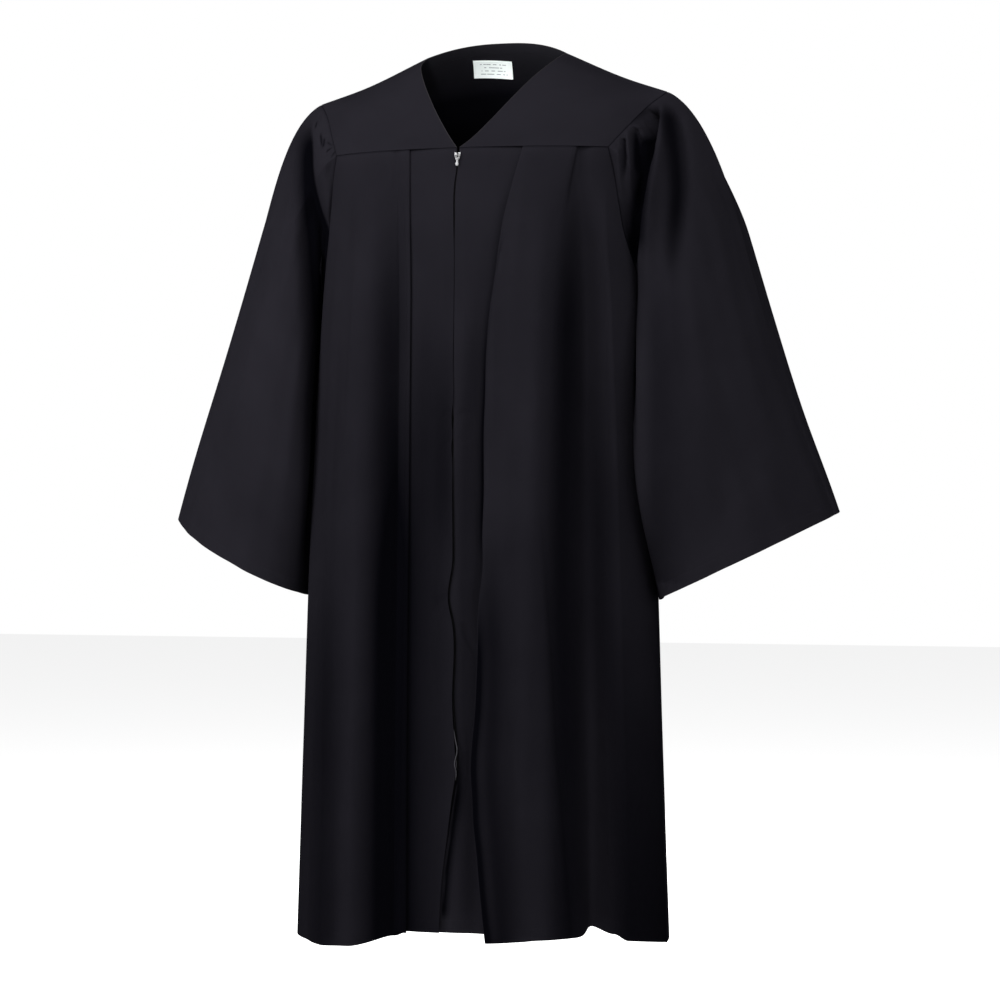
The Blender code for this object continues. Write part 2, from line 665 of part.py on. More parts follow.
def sleeve(name, side):
    """Grid over a sleeve: rings from the armhole to the cuff."""
    places = range(ARMHOLE_STEPS)
    grid = np.array([[clear_of_body(side, sleeve_point(side, along, place), along) for place in places]
                     for along in SLEEVE_ROWS])
    normals = grid_normals(grid, True, -side)
    for crease in SLEEVE_CREASES[name]:
        depths = follow(CREASE_LEVELS, (crease.cap, crease.upper, crease.lower, crease.cuff), SLEEVE_ROWS)
        apart = np.abs(np.arange(ARMHOLE_STEPS) - crease.place)
        apart = np.minimum(apart, ARMHOLE_STEPS - apart)
        shape = np.exp(-(apart / crease.breadth) ** 2)
        grid += (depths[:, None] * shape[None, :])[..., None] * normals
    normals = grid_normals(grid, True, -side)
    normals[0] = [armhole_normal(side, place) for place in places]
    return grid, normals


# ---- solids --------------------------------------------------------------------------
def grid_normals(grid, ring, sign):
    """Unit directions straight out of a grid of points."""
    if ring:
        across = np.roll(grid, -1, axis=1) - np.roll(grid, 1, axis=1)
    else:
        across = np.gradient(grid, axis=1)
    down = np.gradient(grid, axis=0)
    return unit(np.cross(down, across) * sign)


def level_normals(grid, sign):
    """Unit directions straight out of a grid, each kept level."""
    normals = grid_normals(grid, False, sign)
    normals[..., 2] = 0.0
    return unit(normals)


def material(name, finish):
    """A plain material for one kind of stuff."""
    made = bpy.data.materials.new(name)
    made.use_nodes = True
    surface = made.node_tree.nodes["Principled BSDF"]
    surface.inputs["Base Color"].default_value = (*finish.colour, 1.0)
    surface.inputs["Roughness"].default_value = finish.roughness
    surface.inputs["Metallic"].default_value = finish.metallic
    made.diffuse_color = (*finish.colour, 1.0)
    return made


def cloth(name, grid, normals, finish, wall=WALL, ring=False, flip=False):
    """A closed wall of cloth, half its thickness to each side of a grid of points."""
    rows, columns = grid.shape[:2]
    outer = (grid + normals * wall / 2).reshape(-1, 3)
    inner = (grid - normals * wall / 2).reshape(-1, 3)
    behind = rows * columns
    faces = []
    steps = columns if ring else columns - 1
    for row in range(rows - 1):
        for column in range(steps):
            a = row * columns + column
            b = row * columns + (column + 1) % columns
            c = b + columns
            d = a + columns
            faces.append((a, d, c, b))
            faces.append((a + behind, b + behind, c + behind, d + behind))
    for column in range(steps):
        a = column
        b = (column + 1) % columns
        faces.append((a, b, b + behind, a + behind))
        a += (rows - 1) * columns
        b += (rows - 1) * columns
        faces.append((b, a, a + behind, b + behind))
    if not ring:
        for row in range(rows - 1):
            a = row * columns
            d = a + columns
            faces.append((a, a + behind, d + behind, d))
            b = a + columns - 1
            c = b + columns
            faces.append((b, c, c + behind, b + behind))
    if flip:
        faces = [face[::-1] for face in faces]
    mesh = bpy.data.meshes.new(name)
    mesh.from_pydata(np.concatenate((outer, inner)).tolist(), [], faces)
    mesh.shade_smooth()
    mesh.set_sharp_from_angle(angle=EDGE_ANGLE)
    mesh.materials.append(material(name, finish))
    made = bpy.data.objects.new(name, mesh)
    gown.objects.link(made)
    return made


# ---- zip -----------------------------------------------------------------------------
TAPE_OUT = -(WALL / 2 + GAP + TAPE_WALL / 2)     # from the middle of a front to the middle of its tape


def zip_tape(name, side):
    """Grid over the zip tape behind the edge of one front."""
    hem = front_hems(name)[0]
    top = YOKE_SEAM_Z - HALF_GAP
    columns = []
    for across in (0.0, 0.5, 1.0):
        points = []
        for row in FRONT_ROWS[:ZIP_END_ROW + 1]:
            height = top + (hem - top) * row
            middle = (front_edge("left", height) - front_edge("right", height)) / 2 * side
            out = front_knots(name, height)[0][1]
            distance = middle + CHAIN_HALF + TAPE_WIDTH * across
            points.append(skin(side, turn_at(distance, height), height, out + TAPE_OUT))
        columns.append(points)
    return np.array(columns).transpose(1, 0, 2)


def plate(name, width, height, thickness, rounding):
    """A flat plate facing the front, with rounded corners."""
    bpy.ops.mesh.primitive_cube_add(size=1.0)
    made = bpy.context.object
    made.name = name
    made.scale = (width, thickness, height)
    bpy.ops.object.transform_apply(location=False, rotation=False, scale=True)
    bevel = made.modifiers.new("rounded corners", "BEVEL")
    bevel.width = rounding
    bevel.segments = 2
    bevel.limit_method = "NONE"
    bevel.affect = "VERTICES"
    return made


def between_rows(left, right, height):
    """Middle between two facing grids at a height, read along the grids' first columns."""
    middle = (left[:, 0] + right[:, 0]) / 2
    return np.array([np.interp(-height, -middle[:, 2], middle[:, axis]) for axis in range(3)])


def slider_frame(left, right):
    """Middle of the front cloth at the slider, and the lean of the cloth there."""
    above = between_rows(left, right, SLIDER_Z + SLIDER_HEIGHT / 2)
    below = between_rows(left, right, SLIDER_Z - SLIDER_HEIGHT / 2)
    return (above + below) / 2, math.atan2(below[1] - above[1], above[2] - below[2])


def into(collection, made):
    """Moves an object to a collection."""
    for holder in made.users_collection:
        holder.objects.unlink(made)
    collection.objects.link(made)


def join_to(body, piece):
    """Joins a piece to a body with a Boolean union, and keeps the piece with the cutters."""
    into(cutters, piece)
    piece.hide_render = True
    piece.display_type = "WIRE"
    union = body.modifiers.new("with " + piece.name, "BOOLEAN")
    union.operation = "UNION"
    union.object = piece


FRONT_PLATE_Y = -(WALL / 2 + GAP + SLIDER_PLATE / 2)
BACK_PLATE_Y = WALL / 2 + 2 * GAP + TAPE_WALL + SLIDER_PLATE / 2
PIVOT_OUT = 0.0017       # hinge axis of the pull, out from the slider's face
PIVOT_Y = FRONT_PLATE_Y - SLIDER_PLATE / 2 - PIVOT_OUT
PIVOT_Z = 0.0016         # above the middle of the slider
BRIDGE_RADIUS = 0.0019
BRIDGE_BAR = 0.0005


def zip_slider(finish, middle, lean):
    """The slider: two plates on a post, with a bridge on the front for the pull."""
    body = plate("zip_slider", SLIDER_WIDTH, SLIDER_HEIGHT, SLIDER_PLATE, SLIDER_CORNER)
    body.location = (0.0, FRONT_PLATE_Y, 0.0)
    back = plate("slider_back", SLIDER_WIDTH, SLIDER_HEIGHT, SLIDER_PLATE, SLIDER_CORNER)
    back.location = (0.0, BACK_PLATE_Y, 0.0)
    depth = BACK_PLATE_Y - FRONT_PLATE_Y
    post = plate("slider_post", SLIDER_POST_WIDTH, SLIDER_POST_HEIGHT, depth, SLIDER_POST_WIDTH / 4)
    post.location = (0.0, (FRONT_PLATE_Y + BACK_PLATE_Y) / 2, SLIDER_POST_UP)
    bpy.ops.mesh.primitive_torus_add(major_radius=BRIDGE_RADIUS, minor_radius=BRIDGE_BAR,
                                     major_segments=20, minor_segments=6)
    bridge = bpy.context.object
    bridge.name = "slider_bridge"
    bridge.rotation_euler = (0.0, math.pi / 2, 0.0)
    bridge.location = (0.0, PIVOT_Y, PIVOT_Z)
    holder = bpy.data.objects.new("slider_place", None)
    gown.objects.link(holder)
    holder.location = middle
    holder.rotation_euler = (lean, 0.0, 0.0)
    into(gown, body)
    for piece in (body, back, post, bridge):
        piece.parent = holder
    for piece in (back, post, bridge):
        join_to(body, piece)
    body.data.materials.append(material("zip_slider", finish))
    body.data.shade_smooth()
    body.data.set_sharp_from_angle(angle=EDGE_ANGLE)
    return holder


PULL_BAR = 0.0010        # the crossbar that the bridge holds
PULL_WINDOW_HEIGHT = 0.0034
PULL_WINDOW_WIDTH = 0.0026
PULL_SHOULDER = 0.0038   # where the pull starts to narrow, below its axis
PULL_WAIST = 0.0068      # where it is narrowest
PULL_WAIST_WIDTH = 0.0034
PULL_END_WIDTH = 0.0044
ROUND_END_STEPS = 8


def ring_of(curve, points):
    """Adds a closed straight-sided outline to a flat curve."""
    spline = curve.splines.new("POLY")
    spline.points.add(len(points) - 1)
    for spot, (x, y) in zip(spline.points, points):
        spot.co = (x, y, 0.0, 1.0)
    spline.use_cyclic_u = True


def rounded_end(width, centre, start, steps):
    """Points of a half circle of a given width, centred on the middle line."""
    return [(width / 2 * math.cos(start + math.pi * step / steps),
             centre + width / 2 * math.sin(start + math.pi * step / steps)) for step in range(steps + 1)]


def zip_pull(finish, holder):
    """The pull tab, hanging by its crossbar from the bridge, its origin on the hinge axis."""
    curve = bpy.data.curves.new("zip_pull", "CURVE")
    curve.dimensions = "2D"
    curve.fill_mode = "BOTH"
    curve.extrude = PULL_THICKNESS / 2
    top = PULL_BAR / 2
    waist = PULL_WAIST_WIDTH / 2
    window = PULL_WINDOW_HEIGHT
    outline = [(PULL_WIDTH / 2, top), (-PULL_WIDTH / 2, top), (-PULL_WIDTH / 2, -PULL_SHOULDER),
               (-waist, -PULL_WAIST)]
    outline += rounded_end(PULL_END_WIDTH, PULL_END_WIDTH / 2 - PULL_LENGTH, math.pi, ROUND_END_STEPS)
    outline += [(waist, -PULL_WAIST), (PULL_WIDTH / 2, -PULL_SHOULDER)]
    ring_of(curve, outline)
    half = PULL_WINDOW_WIDTH / 2
    ring_of(curve, [(half, -top), (-half, -top), (-half, -top - window), (half, -top - window)])
    flat = bpy.data.objects.new("zip_pull_outline", curve)
    gown.objects.link(flat)
    bpy.context.view_layer.update()
    mesh = bpy.data.meshes.new_from_object(flat.evaluated_get(bpy.context.evaluated_depsgraph_get()))
    bpy.data.objects.remove(flat)
    made = bmesh.new()
    made.from_mesh(mesh)
    bmesh.ops.remove_doubles(made, verts=made.verts, dist=0.00001)
    made.to_mesh(mesh)
    made.free()
    pull = bpy.data.objects.new("zip_pull", mesh)
    gown.objects.link(pull)
    mesh.materials.clear()
    mesh.materials.append(material("zip_pull", finish))
    pull.parent = holder
    pull.location = (0.0, PIVOT_Y, PIVOT_Z)
    lean = holder.rotation_euler[0]
    pull.rotation_euler = (math.pi / 2 - lean, 0.0, 0.0)
    return pull


STOP_HEIGHT = 0.0040
STOP_DEPTH = 0.0022
STOP_CORNER = 0.0004


def zip_stop(finish, left, right):
    """The stop that closes the foot of the zip, between the tapes."""
    stop = plate("zip_stop", 2 * CHAIN_HALF - 3 * GAP, STOP_HEIGHT, STOP_DEPTH, STOP_CORNER)
    stop.location = between_rows(left, right, ZIP_END_Z + STOP_HEIGHT)
    into(gown, stop)
    stop.data.materials.append(material("zip_stop", finish))


# ---- label ---------------------------------------------------------------------------
def neck_label(yoke, normals):
    """Grid over the bare label inside the back of the neck, made from the yoke's own points."""
    first = YOKE_CORNER + 1 + NECK_COLUMNS.index(LABEL_LEFT_X)
    last = YOKE_CORNER + 1 + NECK_COLUMNS.index(LABEL_RIGHT_X)
    rows = slice(LABEL_ROWS[0], LABEL_ROWS[1] + 1)
    columns = slice(first, last + 1)
    inward = WALL / 2 + GAP + TAPE_WALL / 2
    return yoke[rows, columns] - normals[rows, columns] * inward, normals[rows, columns]


# ---- the whole gown ------------------------------------------------------------------
for item in list(bpy.data.objects):
    bpy.data.objects.remove(item)
gown = bpy.data.collections.new("graduation_gown")
cutters = bpy.data.collections.new("cutters")
for group in (gown, cutters):
    bpy.context.scene.collection.children.link(group)

fronts = {}
tapes = {}
for wearer, hand in (("left", 1), ("right", -1)):
    panel = front_panel(wearer, hand)
    fronts[wearer] = panel
    directions = level_normals(panel, hand)
    first_place = panel.shape[1] - 1 - (UNDERARM - YOKE_CORNER)
    for step in range(UNDERARM - YOKE_CORNER + 1):
        directions[0, first_place + step] = armhole_normal(hand, YOKE_CORNER + step)
    directions[:, -1] = (hand, 0.0, 0.0)
    cloth("front_" + wearer, panel, directions, GOWN_CLOTH, flip=hand < 0)

    tape = zip_tape(wearer, hand)
    tapes[wearer] = tape
    cloth("zip_tape_" + wearer, tape, level_normals(tape, hand), ZIP_CLOTH, TAPE_WALL, flip=hand < 0)

    panel = front_yoke(hand)
    directions = grid_normals(panel, False, hand)
    directions[0] = unit(np.array(SHOULDER_NORMAL) * (hand, 1, 1))
    directions[-1] = level_normals(panel, hand)[-1]
    directions[:, -1] = [armhole_normal(hand, place) for place in range(YOKE_CORNER + 1)]
    cloth("yoke_front_" + wearer, panel, directions, GOWN_CLOTH, flip=hand < 0)

    tube, directions = sleeve(wearer, hand)
    cloth("sleeve_" + wearer, tube, directions, GOWN_CLOTH, ring=True, flip=hand > 0)

panel = back_panel()
directions = level_normals(panel, 1)
for step in range(BACK_CORNER - UNDERARM + 1):
    directions[0, step] = armhole_normal(1, UNDERARM + step)
    directions[0, -1 - step] = armhole_normal(-1, UNDERARM + step)
directions[:, 0] = (1.0, 0.0, 0.0)
directions[:, -1] = (-1.0, 0.0, 0.0)
cloth("back", panel, directions, GOWN_CLOTH)

panel = back_yoke()
directions = grid_normals(panel, False, 1)
directions[0, :YOKE_CORNER + 1] = unit(SHOULDER_NORMAL)
directions[0, -YOKE_CORNER - 1:] = unit(np.array(SHOULDER_NORMAL) * (-1, 1, 1))
directions[-1] = level_normals(panel, 1)[-1]
for step in range(YOKE_CORNER + 1):
    directions[step, 0] = armhole_normal(1, ARMHOLE_STEPS - step)
    directions[step, -1] = armhole_normal(-1, ARMHOLE_STEPS - step)
cloth("yoke_back", panel, directions, GOWN_CLOTH)
cloth("neck_label", *neck_label(panel, directions), LABEL_CLOTH, TAPE_WALL)

place = zip_slider(ZIP_METAL, *slider_frame(fronts["left"], fronts["right"]))
zip_pull(ZIP_METAL, place)
zip_stop(ZIP_METAL, tapes["left"], tapes["right"])
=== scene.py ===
import json
import math
from collections import namedtuple

import bmesh
import bpy
import numpy as np
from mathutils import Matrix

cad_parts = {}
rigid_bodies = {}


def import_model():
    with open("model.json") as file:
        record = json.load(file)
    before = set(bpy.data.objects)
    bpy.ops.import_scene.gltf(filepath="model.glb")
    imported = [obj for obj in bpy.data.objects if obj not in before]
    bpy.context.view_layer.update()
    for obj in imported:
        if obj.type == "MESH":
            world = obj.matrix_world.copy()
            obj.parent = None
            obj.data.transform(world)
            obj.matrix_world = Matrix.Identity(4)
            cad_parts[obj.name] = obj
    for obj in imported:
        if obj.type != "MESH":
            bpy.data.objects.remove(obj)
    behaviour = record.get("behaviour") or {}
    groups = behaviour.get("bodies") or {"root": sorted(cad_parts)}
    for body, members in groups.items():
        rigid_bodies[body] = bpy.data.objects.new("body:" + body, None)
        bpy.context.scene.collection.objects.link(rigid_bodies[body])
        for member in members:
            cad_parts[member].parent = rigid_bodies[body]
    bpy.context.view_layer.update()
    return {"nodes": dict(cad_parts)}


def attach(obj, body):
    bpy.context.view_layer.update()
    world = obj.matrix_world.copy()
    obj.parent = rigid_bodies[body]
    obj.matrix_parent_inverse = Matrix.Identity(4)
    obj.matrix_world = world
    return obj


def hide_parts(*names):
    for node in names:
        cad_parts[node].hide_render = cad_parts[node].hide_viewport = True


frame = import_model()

# A graduation gown.  Metres, +Z up, the front faces -Y and the wearer's left is +X.  Every
# piece of cloth is a thin sheet on the form of the gown, with its folds and gathers in it.

# ---- sizes of the gown, as its solids have them --------------------------------------------
WALL = 0.001            # thickness of the gown cloth
TAPE_WALL = 0.0008       # thickness of the zip tapes and the neck label
GAP = 0.0001             # between two pieces at a seam
HALF_GAP = GAP / 2
YOKE_SEAM_Z = -0.15
ZIP_END_Z = -1.03
YOKE_CORNER = 6          # places along the armhole, from the shoulder to the front
UNDERARM = 14
BACK_CORNER = 22
ARMHOLE_STEPS = 28
CRISP = math.radians(55)     # a sharper turn than this is a crisp edge


def table(kind, *rows):
    """Rows of one kind, each with its fields named."""
    return tuple(kind(*row) for row in rows)


Section = namedtuple("Section", "height half_width front_depth back_depth centre_y")
BODY = table(Section,
    (-0.15, 0.232, 0.107, 0.142, -0.065), (-0.27, 0.232, 0.124, 0.152, -0.065),
    (-0.34, 0.238, 0.128, 0.155, -0.065), (-0.45, 0.245, 0.134, 0.157, -0.066),
    (-0.69, 0.257, 0.143, 0.16, -0.068), (-0.99, 0.267, 0.149, 0.166, -0.07),
    (-1.28, 0.277, 0.153, 0.172, -0.07))
BODY_HEIGHTS = [row.height for row in BODY]

# Levels at which the folds are set out.
LEVELS = (-0.15, -0.3, -0.55, -0.95, -1.27)

# The wavy edge of the left pleat: height, and distance round from the middle.
LEFT_PLEAT_EDGE = (
    (-0.15, 0.094), (-0.169, 0.089), (-0.211, 0.0794), (-0.253, 0.0707), (-0.296, 0.0651),
    (-0.338, 0.0605), (-0.38, 0.055), (-0.44, 0.0512), (-0.507, 0.0505), (-0.549, 0.0494),
    (-0.592, 0.05), (-0.634, 0.0507), (-0.7, 0.0492), (-0.74, 0.05), (-0.796, 0.0445),
    (-0.87, 0.043), (-0.94, 0.0405), (-1.029, 0.035), (-1.057, 0.0368), (-1.099, 0.039),
    (-1.142, 0.044), (-1.184, 0.0478), (-1.226, 0.052), (-1.3, 0.061),
)
RIGHT_PLEAT_EDGE = tuple(zip(LEVELS, (0.076, 0.073, 0.072, 0.072, 0.072)))

Pleat = namedtuple("Pleat", "edge reach proud strip hem_edge hem_strip")
PLEATS = {
    "left": Pleat(edge=LEFT_PLEAT_EDGE,
                  reach=(0.03, 0.034, 0.036, 0.04, 0.034),
                  proud=(0.0005, 0.003, 0.004, 0.004, 0.005),
                  strip=(-0.0045, -0.012, -0.02, -0.026, -0.03),
                  hem_edge=-1.266, hem_strip=-1.257),
    "right": Pleat(edge=RIGHT_PLEAT_EDGE,
                   reach=(0.022, 0.02, 0.02, 0.02, 0.022),
                   proud=(-0.0005, -0.008, -0.014, -0.017, -0.019),
                   strip=(-0.0045, -0.012, -0.018, -0.021, -0.023),
                   hem_edge=-1.259, hem_strip=-1.257),
}
PRESSED = (0.0, 1.0, 1.0, 1.0, 1.0)      # how far the cloth at the zip has sunk to the strip
LAYER = 0.0018           # from one layer of a pressed pleat to the next
FOLD_ROUND = 0.003      # how far before its end a folded layer starts to turn
BESIDE_TAPE = 0.002     # flat cloth past the edge of a zip tape
STRIP_RAMP = 0.018       # how far before the pleat the strip reaches its depth

Fold = namedtuple("Fold", "name round out hem")
FRONT_FOLDS = {
    "left": table(Fold,
        ("crest", (0.16, 0.148, 0.138, 0.155, 0.182), (0.0, 0.008, 0.013, 0.014, 0.016), -1.256),
        ("valley", (0.172, 0.19, 0.203, 0.206, 0.214),
         (-0.001, -0.015, -0.024, -0.027, -0.032), -1.246),
        ("rise to the side", (0.192, 0.212, 0.226, 0.234, 0.244),
         (0.0, -0.006, -0.01, -0.011, -0.013), -1.256)),
    "right": table(Fold,
        ("valley", (0.094, 0.094, 0.096, 0.096, 0.098),
         (-0.001, -0.014, -0.022, -0.025, -0.027), -1.265),
        ("crest", (0.135, 0.138, 0.142, 0.146, 0.15), (0.001, 0.008, 0.013, 0.014, 0.014), -1.279),
        ("fall to the side", (0.17, 0.185, 0.2, 0.208, 0.215),
         (0.0, 0.003, 0.005, 0.005, 0.005), -1.284)),
}

# Edges of the fronts along the zip and the slit below it, as places across the gown.
Opening = namedtuple("Opening", "height right left")
OPENING = table(Opening,
    (-0.15, -0.0024, 0.0024), (-0.178, -0.0014, 0.001), (-0.206, -0.0046, -0.0018),
    (-0.25, -0.0046, -0.002), (-0.285, -0.004, -0.0028), (-0.34, -0.0038, -0.0029),
    (-0.45, -0.0039, -0.0031), (-0.519, -0.004, -0.0032), (-0.527, -0.0051, -0.0019),
    (-0.54, -0.0048, -0.0022), (-0.547, -0.004, -0.0032), (-0.561, -0.0038, -0.003),
    (-0.568, -0.0049, -0.0017), (-0.58, -0.0046, -0.002), (-0.588, -0.0038, -0.003),
    (-0.64, -0.0031, -0.0024), (-0.7, -0.002, -0.0012), (-0.735, -0.0018, -0.0009),
    (-0.788, -0.0086, -0.0077), (-0.822, -0.0013, -0.0004), (-0.94, -0.0004, 0.0006),
    (-0.995, 0.0034, 0.0068), (-1.03, 0.005, 0.0072), (-1.07, -0.001, 0.0008),
    (-1.12, -0.0078, -0.008), (-1.19, -0.0168, -0.0193), (-1.226, -0.019, -0.022),
    (-1.26, -0.0208, -0.0236))
TAPE_WIDTH = 0.014
CHAIN_HALF = 0.0016

Flute = namedtuple("Flute", "name turn out hem")
BACK_FLUTES = table(Flute,
    ("middle", (180, 180, 180, 180, 180), (0.001, 0.006, 0.012, 0.014, 0.016), -1.227),
    ("first valley", (170, 169, 168, 167, 166), (-0.001, -0.01, -0.018, -0.022, -0.026), -1.226),
    ("first crest", (159, 157, 155, 154, 153), (0.001, 0.004, 0.009, 0.012, 0.013), -1.23),
    ("second valley", (149, 146, 143, 142, 141), (-0.001, -0.009, -0.015, -0.018, -0.021), -1.234),
    ("second crest", (138, 134, 131, 130, 129), (0.001, 0.003, 0.007, 0.009, 0.01), -1.243),
    ("side hollow", (128, 124, 120, 119, 118), (0.0, -0.003, -0.007, -0.009, -0.01), -1.254))
METRES_PER_DEGREE = 0.004
BACK_CORNER_TURNS = (118.5, 116.0, 112.0, 110.0, 110.0)
SIDE_SEAM_HEM = {"left": -1.274, "right": -1.276}

Over = namedtuple("Over", "place x y z")
OVER_FRONT = table(Over,
    (0, 0.264, -0.02, -0.064), (2, 0.244, -0.048, -0.086), (4, 0.222, -0.086, -0.12))
OVER_BACK = table(Over,
    (24, 0.222, -0.008, -0.12), (26, 0.246, -0.002, -0.086), (28, 0.264, -0.02, -0.064))
Down = namedtuple("Down", "place turn height")
DOWN = table(Down,
    (6, 61.5, YOKE_SEAM_Z), (8, 65.5, -0.184), (10, 69.5, -0.228), (12, 76.0, -0.286),
    (14, 90.0, -0.34), (16, 104.0, -0.286), (18, 110.5, -0.228), (20, 114.5, -0.184),
    (22, 118.5, YOKE_SEAM_Z))
SHOULDER_NORMAL = (0.36, 0.0, 0.93)

Point = namedtuple("Point", "along x y z")
FRONT_NECK = table(Point,
    (0.0, 0.107, 0.0, 0.0), (0.2, 0.1, -0.046, -0.018), (0.38, 0.082, -0.085, -0.045),
    (0.56, 0.061, -0.114, -0.076), (0.74, 0.039, -0.137, -0.107), (0.9, 0.016, -0.158, -0.136),
    (1.0, 0.0026, -0.172, -0.15))
BACK_NECK_RISE = 0.0225
BACK_NECK_Y = 0.036
BACK_NECK_SQUARENESS = 2.4
NECK_POINT = (0.107, 0.0, 0.0)
SHOULDER_MIDDLE = (0.2, -0.008, -0.0415)
SHOULDER_MIDDLE_SHARE = 0.59
BACK_YOKE_FULLNESS = 0.002
FRONT_YOKE_FULLNESS = 0.006
FRONT_YOKE_OUTWARD = (0.0, -0.8, 0.6)

Tube = namedtuple("Tube", "along x y z long short turn slope lean")
SLEEVE = table(Tube,
    (0.3, 0.299, -0.02, -0.325, 0.1, 0.061, 60.0, 0.8, 0.0),
    (0.5, 0.321, -0.033, -0.44, 0.122, 0.068, 57.0, 0.62, -0.05),
    (0.75, 0.348, -0.037, -0.585, 0.138, 0.079, 49.0, 0.52, -0.12),
    (1.0, 0.382, -0.012, -0.729, 0.137, 0.094, 39.0, 0.46, 0.04))
Leave = namedtuple("Leave", "place onward outward down")
LEAVING = {
    "left": table(Leave,
        (0, 0.88, 0.0, 0.0), (3, 0.62, 0.32, 0.1), (6, 0.25, 0.6, 0.25), (10, 0.25, 0.7, 0.1),
        (14, 0.45, 1.2, 0.0), (18, 0.25, 0.75, 0.1), (22, 0.25, 0.6, 0.25), (25, 0.62, 0.3, 0.15),
        (28, 0.88, 0.0, 0.0)),
    "right": table(Leave,
        (0, 0.88, 0.0, 0.0), (3, 0.68, 0.22, 0.1), (6, 0.52, 0.34, 0.2), (9, 0.54, 0.36, 0.12),
        (12, 0.5, 0.6, 0.05), (14, 0.45, 1.2, 0.0), (18, 0.25, 0.75, 0.1), (22, 0.25, 0.6, 0.25),
        (25, 0.62, 0.3, 0.15), (28, 0.88, 0.0, 0.0)),
}
TUBE_PLACES = (0, YOKE_CORNER, UNDERARM, BACK_CORNER, ARMHOLE_STEPS)
TUBE_ANGLES = (0.0, 72.0, 180.0, 288.0, 360.0)
ARRIVE = 0.9
SLEEVE_CLEAR = 0.007
CLEAR_SOFTNESS = 0.006
CLEAR_BY = 0.06

# ---- creases, gathers and puckers ----------------------------------------------------------
# A fold laid into a piece: the line it follows (across, down), how far it stands out, its
# breadth to each side, and the shares of its length over which it rises and dies away.
Crease = namedtuple("Crease", "name line out left right rise fade")
# A fold with a crisp edge: the cloth drops within `edge` to one side of the line, and comes
# back over `reach`.
Drop = namedtuple("Drop", "name line out edge reach side rise fade")

SEAM_DIP = 0.0006        # how deep a sewn edge turns in
SEAM_DIP_REACH = 0.0025  # how far from the edge it does
SEAM_SHADE = 0.85        # how dark the painted shade in the groove of a seam is
SEAM_SHADE_REACH = 0.0016
SEAM_HOLDS = 0.0028      # how far from its seam a gather is held flat

# Upright lines over a front: distance round from the middle, and down from the shoulder.
FRONT_CREASES = {
    "left": (
        Crease("drag from the zip", ((0.01, 0.82), (0.025, 0.849), (0.041, 0.873)), -0.003, 0.0045,
            0.006, 0.25, 0.4),
        Drop("pressed top of the fold", ((0.1695, 0.148), (0.16, 0.205), (0.154, 0.26)), -0.0045,
            0.0022, 0.02, 1, 0.02, 0.6),
        Drop("crest line", ((0.128, 0.64), (0.13, 0.69), (0.142, 0.854), (0.15, 0.981),
            (0.157, 1.066), (0.171, 1.262)), -0.005, 0.003, 0.025, 1, 0.35, 0.02),
        Crease("drag below the pleat's notch", ((0.075, 0.275), (0.068, 0.3), (0.062, 0.345)),
            -0.0014, 0.003, 0.004, 0.4, 0.4),
        Crease("long drag", ((0.1, 0.18), (0.085, 0.33), (0.078, 0.52)), 0.0016, 0.01, 0.01, 0.3,
            0.5),
        Crease("low ripple", ((0.095, 0.86), (0.1, 1.05), (0.112, 1.262)), -0.004, 0.016, 0.012,
            0.5, 0.02),
    ),
    "right": (
        Crease("faint crease", ((0.15, 0.27), (0.157, 0.37), (0.162, 0.5), (0.168, 0.6),
            (0.172, 0.7)), 0.0014, 0.006, 0.0022, 0.3, 0.4),
        Crease("top of the pleat", ((0.098, 0.15), (0.096, 0.185), (0.095, 0.24)), -0.0016, 0.004,
            0.006, 0.05, 0.6),
        Crease("low ripple", ((0.165, 0.9), (0.178, 1.08), (0.188, 1.28)), -0.0035, 0.014, 0.014,
            0.5, 0.02),
    ),
}
# Level puckers beside the zip: down from the shoulder, and distance round.
FRONT_PUCKERS = {
    "left": (
        Crease("pucker", ((0.53, 0.003), (0.526, 0.012), (0.531, 0.024)), -0.0016, 0.003, 0.003,
            0.2, 0.5),
        Crease("lower pucker", ((0.562, 0.003), (0.566, 0.014), (0.574, 0.026)), -0.0014, 0.003,
            0.003, 0.2, 0.5),
        Crease("puff between", ((0.546, 0.004), (0.551, 0.022)), 0.0014, 0.006, 0.006, 0.3, 0.5),
    ),
    "right": (
        Crease("pucker", ((0.528, 0.003), (0.525, 0.012), (0.53, 0.022)), -0.0016, 0.003, 0.003,
            0.2, 0.5),
        Crease("lower pucker", ((0.563, 0.003), (0.567, 0.012), (0.575, 0.021)), -0.0014, 0.003,
            0.003, 0.2, 0.5),
        Crease("puff between", ((0.545, 0.004), (0.549, 0.018)), 0.0012, 0.006, 0.006, 0.3, 0.5),
        Crease("drag from the kink", ((0.78, 0.004), (0.792, 0.02), (0.815, 0.04)), -0.0018, 0.005,
            0.006, 0.3, 0.5),
    ),
}
